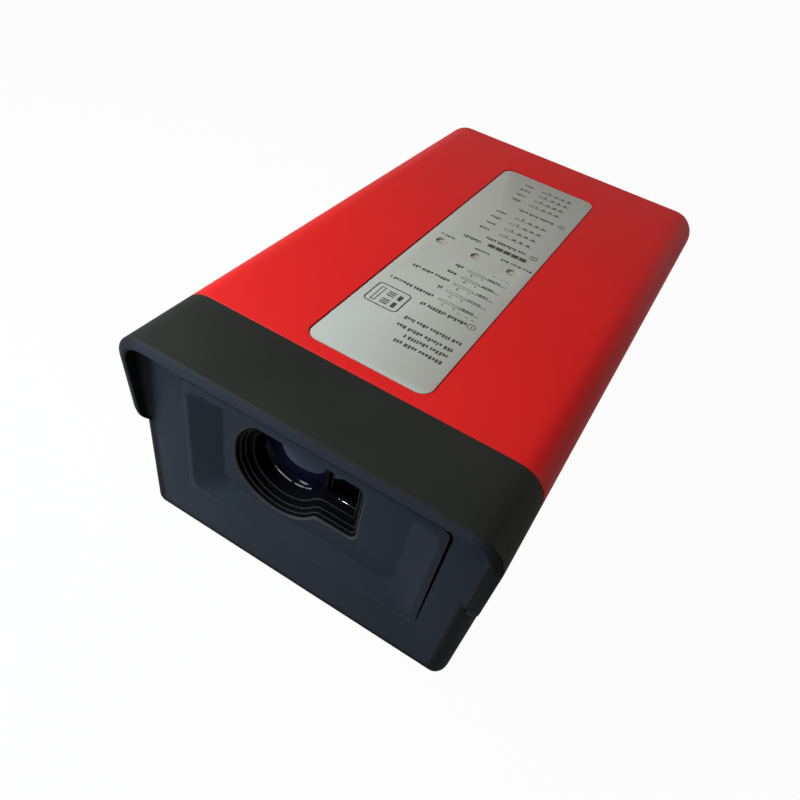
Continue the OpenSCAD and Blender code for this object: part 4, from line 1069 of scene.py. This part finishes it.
    def numbers(self, ink):
        """Plain pin numbers, made a mesh and then set in place, upright for a reader behind the sensor."""
        spots = [(2.4, y - 1.35, str(i + 1)) for i, y in enumerate(PIN_ROWS)]
        spots += [(1.6, y + 0.95, str(i % 4 + 1)) for i, y in enumerate(PORT_ROWS)]
        spots += [(10.4, y, str(i + 1)) for i, y in enumerate(TITLE_ROWS)]
        for i, (x, y, text) in enumerate(spots):
            curve = bpy.data.curves.new("number", "FONT")
            curve.body = text
            curve.size = 1.5 * MM
            curve.align_x, curve.align_y = "CENTER", "CENTER"
            curve.extrude = PRINT_T / 2
            holder = place_object("number", curve)
            mesh = settled_mesh(holder)
            bpy.data.objects.remove(holder)
            bpy.data.curves.remove(curve)
            place = Matrix.Translation((x * MM, FRONT_Y + y * MM, LABEL_HIGH[2] + PRINT_T / 2))
            mesh.transform(place @ Matrix.Rotation(math.pi, 4, "Z"))
            mesh.materials.clear()
            mesh.materials.append(ink)
            piece = place_object(f"label_number_{i + 1}", mesh)
            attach(piece, BODY)


class SENSOR_OT_connectors(bpy.types.Operator):
    """Threaded power inlet and two network ports: rings round each axis, with a hexagonal collar"""

    bl_idname = "sensor.connectors"
    bl_label = "Connectors"

    def execute(self, context):
        rear, colours = settings(context, "rear", "colours")
        plate = coated("nickel_plate", colours.nickel, 0.27, mottle=0.04, blotch=200, grain=5000, bump=0.05,
                       depth=0.01, metal=1.0)
        low, high = node_box("network_port_shells")
        z = (INLET_LOW[2] + INLET_HIGH[2]) / 2
        half = rear.collar_width / 2
        middle = (INLET_LOW[0] + INLET_HIGH[0]) / 2
        self.shell("power_inlet", plate, rear, middle, z, True, ["power_inlet_shell"])
        self.shell("network_port_1", plate, rear, low[0] + half, z, False, ["network_port_shells"])
        self.shell("network_port_2", plate, rear, high[0] - half, z, False, ["network_port_shells"])
        return {"FINISHED"}

    def shell(self, name, plate, rear, x, z, male, replaces):
        """Body, collar and neck outside, bore inside.

        A cone of 30 degrees cuts the collar's outer corners. The thread's radius falls from its crest by its
        depth times a triangle wave of the turns: y over the pitch less the angle over a full turn."""
        y0, tip = INLET_LOW[1] - FRONT_Y, INLET_HIGH[1] - FRONT_Y
        collar0 = COVER_HIGH[1] - FRONT_Y + MM
        collar1 = collar0 + rear.collar_t
        flats = hexagon(rear.collar_width)
        ease, chamfer = 0.12 * MM, 0.3 * MM

        def thread(start, end, crest, sign):
            y = np.linspace(start, end, int((end - start) / rear.thread_pitch * 12))[:, None]
            wave = np.abs(((y / rear.thread_pitch - TURN / (2 * math.pi)) % 1) * 2 - 1)
            fade = np.clip(np.minimum(y - start, end - y) / rear.thread_pitch, 0, 1)
            return list(zip(crest - sign * rear.thread_depth * wave * fade, y[:, 0]))

        neck = rear.inlet_r if male else rear.port_r
        body, bore, seat = rear.body_r, rear.port_bore, rear.insert_bore
        rows = [(seat, y0), (body - chamfer, y0), (body, y0 + chamfer), (body, collar0),
                (flats - ease, collar0), (flats, collar0 + ease)]
        rows += [(np.minimum(flats, rear.collar_width / 2 - chamfer + fall * math.sqrt(3)), collar1 - fall)
                 for fall in np.linspace(1.05, 0, 9) * MM]
        rows.append((neck, collar1))
        end = [(neck, tip - 0.5 * MM), (neck - 0.5 * MM, tip)]
        if male:
            rows += thread(collar1 + 0.6 * MM, tip - 0.7 * MM, neck, 1) + end
            rows += [(seat + 0.4 * MM, tip), (seat, tip - 0.4 * MM)]
        else:
            rows += end + [(bore + 0.5 * MM, tip)] + thread(collar1, tip - 0.6 * MM, bore, -1)[::-1]
            rows += [(bore, collar0), (seat, collar0)]
        make_piece(name, spun(rows, x, z), plate, replaces, True, sharp=40)


class SENSOR_OT_rear(bpy.types.Operator):
    """Rear cover with soft edges and the four socket screws that hold it"""

    bl_idname = "sensor.rear"
    bl_label = "Rear cover and screws"

    def execute(self, context):
        sizes, rear, colours = settings(context, "body", "rear", "colours")
        inset = SLEEVE_HIGH[0] - COVER_HIGH[0]
        y0, y1 = COVER_LOW[1] - FRONT_Y, COVER_HIGH[1] - FRONT_Y
        low, high = node_box("rear_screws")
        lower, upper, nudge = low[2] + rear.head_r, high[2] - rear.head_r, 0.4 * MM
        spots = [(low[0] + rear.head_r, lower), (high[0] - rear.head_r, lower),
                 (low[0] + rear.head_r + nudge, upper - nudge),
                 (high[0] - rear.head_r - nudge, upper - nudge)]
        middle = np.stack([standing(body_ring(sizes, inset), y) for y in (y0, y1)])
        control = np.stack([standing(body_ring(sizes, inset + 0.5 * MM), y0), *middle,
                            standing(body_ring(sizes, inset + MM), y1)])
        rings = soft_corners(control, [0, 0.1 * MM, 0.6 * MM, 0], 6)
        port_low, port_high = node_box("connector_seals")
        seal_r = 9 * MM
        ports = (port_low[0] + seal_r, 0, port_high[0] - seal_r)
        centre = (port_low[2] + port_high[2]) / 2
        tools = [straight_bore(rear.body_r + FIT, y0, y1, x, centre) for x in ports]
        tools += [straight_bore(rear.shank_r + FIT, y0, y1, x, z) for x, z in spots]
        coat = black_coating("cover_black_coating", colours, 0.22)
        make_piece("cover", rings, coat, ["rear_cover"], cutters=tools)
        zinc = coated("zinc_plate", colours.zinc, 0.3, mottle=0.05, blotch=300, grain=6000, bump=0.06,
                      depth=0.01, metal=1.0)
        for i, (x, z) in enumerate(spots):
            self.screw(f"rear_screw_{i + 1}", zinc, rear, x, z, y1, low[1] - FRONT_Y)
        return {"FINISHED"}

    def screw(self, name, zinc, rear, x, z, seat, tip):
        """Rings from the socket's floor over the head and down the shank: the socket's rings are hexagons."""
        top, head, shank = seat + rear.head_h, rear.head_r, rear.shank_r
        key = hexagon(head)
        rows = [(0, top - 1.1 * MM), (0.6 * key, top - 1.0 * MM), (key, top - 0.9 * MM),
                (key, top - 0.1 * MM), (key + 0.15 * MM, top), (head - 0.3 * MM, top),
                (head - 0.08 * MM, top - 0.1 * MM), (head, top - 0.35 * MM), (head, seat), (shank, seat),
                (shank, tip + 0.5 * MM), (shank - 0.5 * MM, tip), (0, tip)]
        make_piece(name, spun(rows, x, z), zinc, ["rear_screws"], sharp=30)


INNER_FINISHES = (
    ("seal_rubber", (0.015, 0.015, 0.015), 0.7, {"grain": 1500, "bump": 0.2},
     ("front_seal", "bezel_seal", "rear_seal", "connector_seals")),
    ("chassis_casting", (0.03, 0.03, 0.032), 0.5, {"grain": 900, "bump": 0.3, "depth": 0.05, "metal": 0.4},
     ("optics_chassis",)),
    ("inner_screw_plate", (0.55, 0.55, 0.53), 0.3, {"grain": 5000, "bump": 0.05, "metal": 1.0},
     ("chassis_screws", "floor_screws", "optics_board_screws", "board_screws", "laser_diode",
      "light_detector", "connector_nuts")),
    ("turned_brass", (0.6, 0.42, 0.16), 0.25,
     {"grain": 3000, "bump": 0.05, "metal": 1.0, "stretch": (1, 20, 1)}, ("board_standoffs",)),
    ("blackened_brass", (0.05, 0.045, 0.04), 0.3,
     {"grain": 3000, "bump": 0.05, "metal": 1.0, "stretch": (1, 20, 1)}, ("laser_barrel",)),
    ("contact_gold", (0.78, 0.54, 0.2), 0.22, {"grain": 3000, "bump": 0.03, "metal": 1.0},
     ("power_inlet_pins", "network_port_contacts")),
    ("board_solder_mask", (0.015, 0.12, 0.045), 0.35,
     {"mottle": 0.1, "blotch": 300, "grain": 700, "bump": 0.1},
     ("optics_board", "main_board", "network_board", "connector_board")),
    ("chip_moulding", (0.02, 0.02, 0.02), 0.55, {"grain": 4000},
     ("main_board_chips", "network_chips", "ribbon_sockets", "board_header")),
    ("insert_moulding", (0.022, 0.022, 0.022), 0.5, {"grain": 3000, "bump": 0.1},
     ("power_inlet_insert", "network_port_inserts")),
    ("flex_film", (0.42, 0.18, 0.04), 0.3, {"grain": 600, "bump": 0.05}, ("optics_flex",)),
    ("ribbon_sheath", (0.4, 0.4, 0.4), 0.5, {"grain": 800, "bump": 0.1, "stretch": (20, 1, 1)},
     ("ribbon_cable",)),
    ("indicator_lens", (0.75, 0.72, 0.65), 0.3, {"grain": 800, "bump": 0.03}, ("status_leds",)),
)


class SENSOR_OT_inside(bpy.types.Operator):
    """Finishes of the solids that stay as they are: seals, glass, boards, inserts and contacts"""

    bl_idname = "sensor.inside"
    bl_label = "Inner finishes"

    def execute(self, context):
        for name, colour, rough, values, nodes in INNER_FINISHES:
            dress(coated(name, colour, rough, **values), *nodes)
        dress(self.glass("window_glass", (0.9, 0.95, 0.97)), "laser_window", "collimator_lens")
        dress(self.glass("filter_glass", (0.25, 0.08, 0.25)), "receiver_filter")
        return {"FINISHED"}

    def glass(self, name, colour):
        """Clear pane with a faint cloud of dust in its gloss."""
        material, tree, shader, place = finish_nodes(name)
        feed(tree, shader, {
            "Base Color": (*colour, 1), "Transmission Weight": 1.0, "IOR": 1.45,
            "Roughness": between(tree, noise(tree, place, 250), 0.0, 0.05),
        })
        return material


# Stage

EYE = np.array([36.52, -62.57, 125.79]) * MM
RIGHT = np.array([0.84245, 0.51664, 0.15283])
DOWN_AXIS = np.array([0.48480, -0.60318, -0.63336])
FORWARD = np.array([-0.23503, 0.60766, -0.75862])
FOCAL, CENTRE_U, CENTRE_V, IMAGE = 629.0, 366.5, 475.9, 800
SENSOR = 36.0


class SENSOR_OT_stage(bpy.types.Operator):
    """Pale floor, soft lamps, white surroundings and the camera of the photograph"""

    bl_idname = "sensor.stage"
    bl_label = "Stage"

    def execute(self, context):
        scene = context.scene
        self.camera(scene)
        self.floor(scene.sensor_colours)
        self.world(scene)
        self.lamp("key_left", (-0.17, -0.10, 0.27), (0, -0.01, 0.03), 0.2, 1.12, (1.0, 0.97, 0.93))
        self.lamp("front_fill", (-0.11, -0.16, 0.11), (-0.01, -0.07, 0.03), 0.06, 0.275, (0.62, 0.82, 1.0))
        self.lamp("right_rim", (0.27, 0.04, 0.13), (0.03, 0.0, 0.03), 0.14, 0.16, (1.0, 0.97, 0.94))
        scene.view_settings.view_transform = "Standard"
        return {"FINISHED"}

    def camera(self, scene):
        """Pinhole of the photograph: its axes, eye, focal length and shifted centre."""
        data = bpy.data.cameras.new("photo_camera")
        data.sensor_width = SENSOR
        data.lens = FOCAL / IMAGE * SENSOR
        data.shift_x = (IMAGE / 2 - CENTRE_U) / IMAGE
        data.shift_y = (CENTRE_V - IMAGE / 2) / IMAGE
        data.clip_start = 0.01
        camera = place_object("photo_camera", data)
        axes = np.stack([RIGHT, -DOWN_AXIS, -FORWARD], 1)
        place = Matrix(axes.tolist()).to_4x4()
        place.translation = Vector(EYE + np.array([0, FRONT_Y, 0]))
        camera.matrix_world = place
        scene.camera = camera

    def lamp(self, name, place, target, size, power, colour):
        """Square soft lamp that faces a point."""
        data = bpy.data.lights.new(name, "AREA")
        data.shape = "SQUARE"
        data.size = size
        data.energy = power
        data.color = colour
        lamp = place_object(name, data)
        lamp.location = place
        lamp.rotation_euler = (Vector(target) - Vector(place)).to_track_quat("-Z", "Y").to_euler()

    def seen(self, tree, mirrored):
        """How far a ray finds plain white: camera rays in full, glossy and transmission rays in part."""
        path = node(tree, "LightPath")
        total = path.outputs["Is Camera Ray"]
        for kind in ("Is Glossy Ray", "Is Transmission Ray"):
            total = reckoned(tree, "MAXIMUM", total, reckoned(tree, "MULTIPLY", path.outputs[kind], mirrored))
        return total

    def floor(self, colours):
        """Wide pale floor. Camera rays get mostly plain white, with the object's shadow kept in the rest."""
        count, drop = 25, 0.1 * MM
        side = np.linspace(-3, 3, count)
        x, y = np.meshgrid(side, side)
        points = np.stack([x, y, np.full_like(x, -drop)], 2).reshape(-1, 3)
        here = np.arange(count**2).reshape(count, count)
        faces = np.stack([here[:-1, :-1], here[:-1, 1:], here[1:, 1:], here[1:, :-1]], 2).reshape(-1, 4)
        mesh = bpy.data.meshes.new("floor")
        mesh.from_pydata(points, [], faces.tolist())
        floor = place_object("floor", mesh)
        material, tree, shader, place = finish_nodes("floor_white")
        white = np.array(colours.floor_white)
        feed(tree, shader, {
            "Base Color": shades(tree, noise(tree, place, 3), white * 0.99, white * 1.01),
            "Roughness": 0.9, "Specular IOR Level": 0.0,
        })
        glow = node(tree, "Emission", {"Strength": 1.0})
        share = reckoned(tree, "MULTIPLY", self.seen(tree, 0.15), 0.965)
        mix = node(tree, "MixShader", {0: share, 1: shader.outputs[0], 2: glow.outputs[0]})
        feed(tree, tree.nodes["Material Output"], {0: mix.outputs[0]})
        mesh.materials.append(material)

    def world(self, scene):
        """White for the rays that show it, darker overhead in reflections, and a dim light for the rest."""
        world = bpy.data.worlds.new("studio")
        world.use_nodes = True
        tree = world.node_tree
        tree.nodes.clear()
        dim = node(tree, "Background", {"Color": (0.95, 0.97, 1.0, 1), "Strength": 0.06})
        way = node(tree, "SeparateXYZ", {0: node(tree, "TexCoord").outputs["Generated"]})
        ceiling = between(tree, way.outputs["Z"], 1.0, 0.16, 0.0, 0.25)
        sight = node(tree, "LightPath").outputs["Is Camera Ray"]
        level = reckoned(tree, "MAXIMUM", ceiling, sight)
        white = node(tree, "Background", {"Color": (1, 1, 1, 1), "Strength": level})
        mix = node(tree, "MixShader", {0: self.seen(tree, 1.0), 1: dim.outputs[0], 2: white.outputs[0]})
        node(tree, "OutputWorld", {0: mix.outputs[0]})
        scene.world = world


class SENSOR_PT_panel(bpy.types.Panel):
    """Steps and values of the sensor in the 3D view's sidebar"""

    bl_idname = "SENSOR_PT_panel"
    bl_label = "Laser displacement sensor"
    bl_space_type = "VIEW_3D"
    bl_region_type = "UI"
    bl_category = "Sensor"

    def draw(self, context):
        for step in STEPS:
            self.layout.operator(step.bl_idname)
        for group in GROUPS:
            values = getattr(context.scene, group)
            for name in values.bl_rna.properties.keys():
                if name not in ("rna_type", "name"):
                    self.layout.prop(values, name, text=name.replace("_", " ").capitalize())


STEPS = (SENSOR_OT_stage, SENSOR_OT_sleeve, SENSOR_OT_cap, SENSOR_OT_bezel, SENSOR_OT_optics, SENSOR_OT_label,
         SENSOR_OT_connectors, SENSOR_OT_rear, SENSOR_OT_inside)
GROUPS = {"sensor_body": SensorBodySizes, "sensor_bezel": SensorBezelSizes, "sensor_rear": SensorRearSizes,
          "sensor_colours": SensorColours}


def register():
    for cls in (*GROUPS.values(), *STEPS, SENSOR_PT_panel):
        bpy.utils.register_class(cls)
    for name, cls in GROUPS.items():
        setattr(bpy.types.Scene, name, PointerProperty(type=cls))


def unregister():
    for name in GROUPS:
        delattr(bpy.types.Scene, name)
    for cls in (SENSOR_PT_panel, *STEPS[::-1], *list(GROUPS.values())[::-1]):
        bpy.utils.unregister_class(cls)


def main():
    """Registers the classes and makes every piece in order."""
    register()
    for step in STEPS:
        group, name = step.bl_idname.split(".")
        getattr(getattr(bpy.ops, group), name)()


if __name__ == "__main__":
    main()
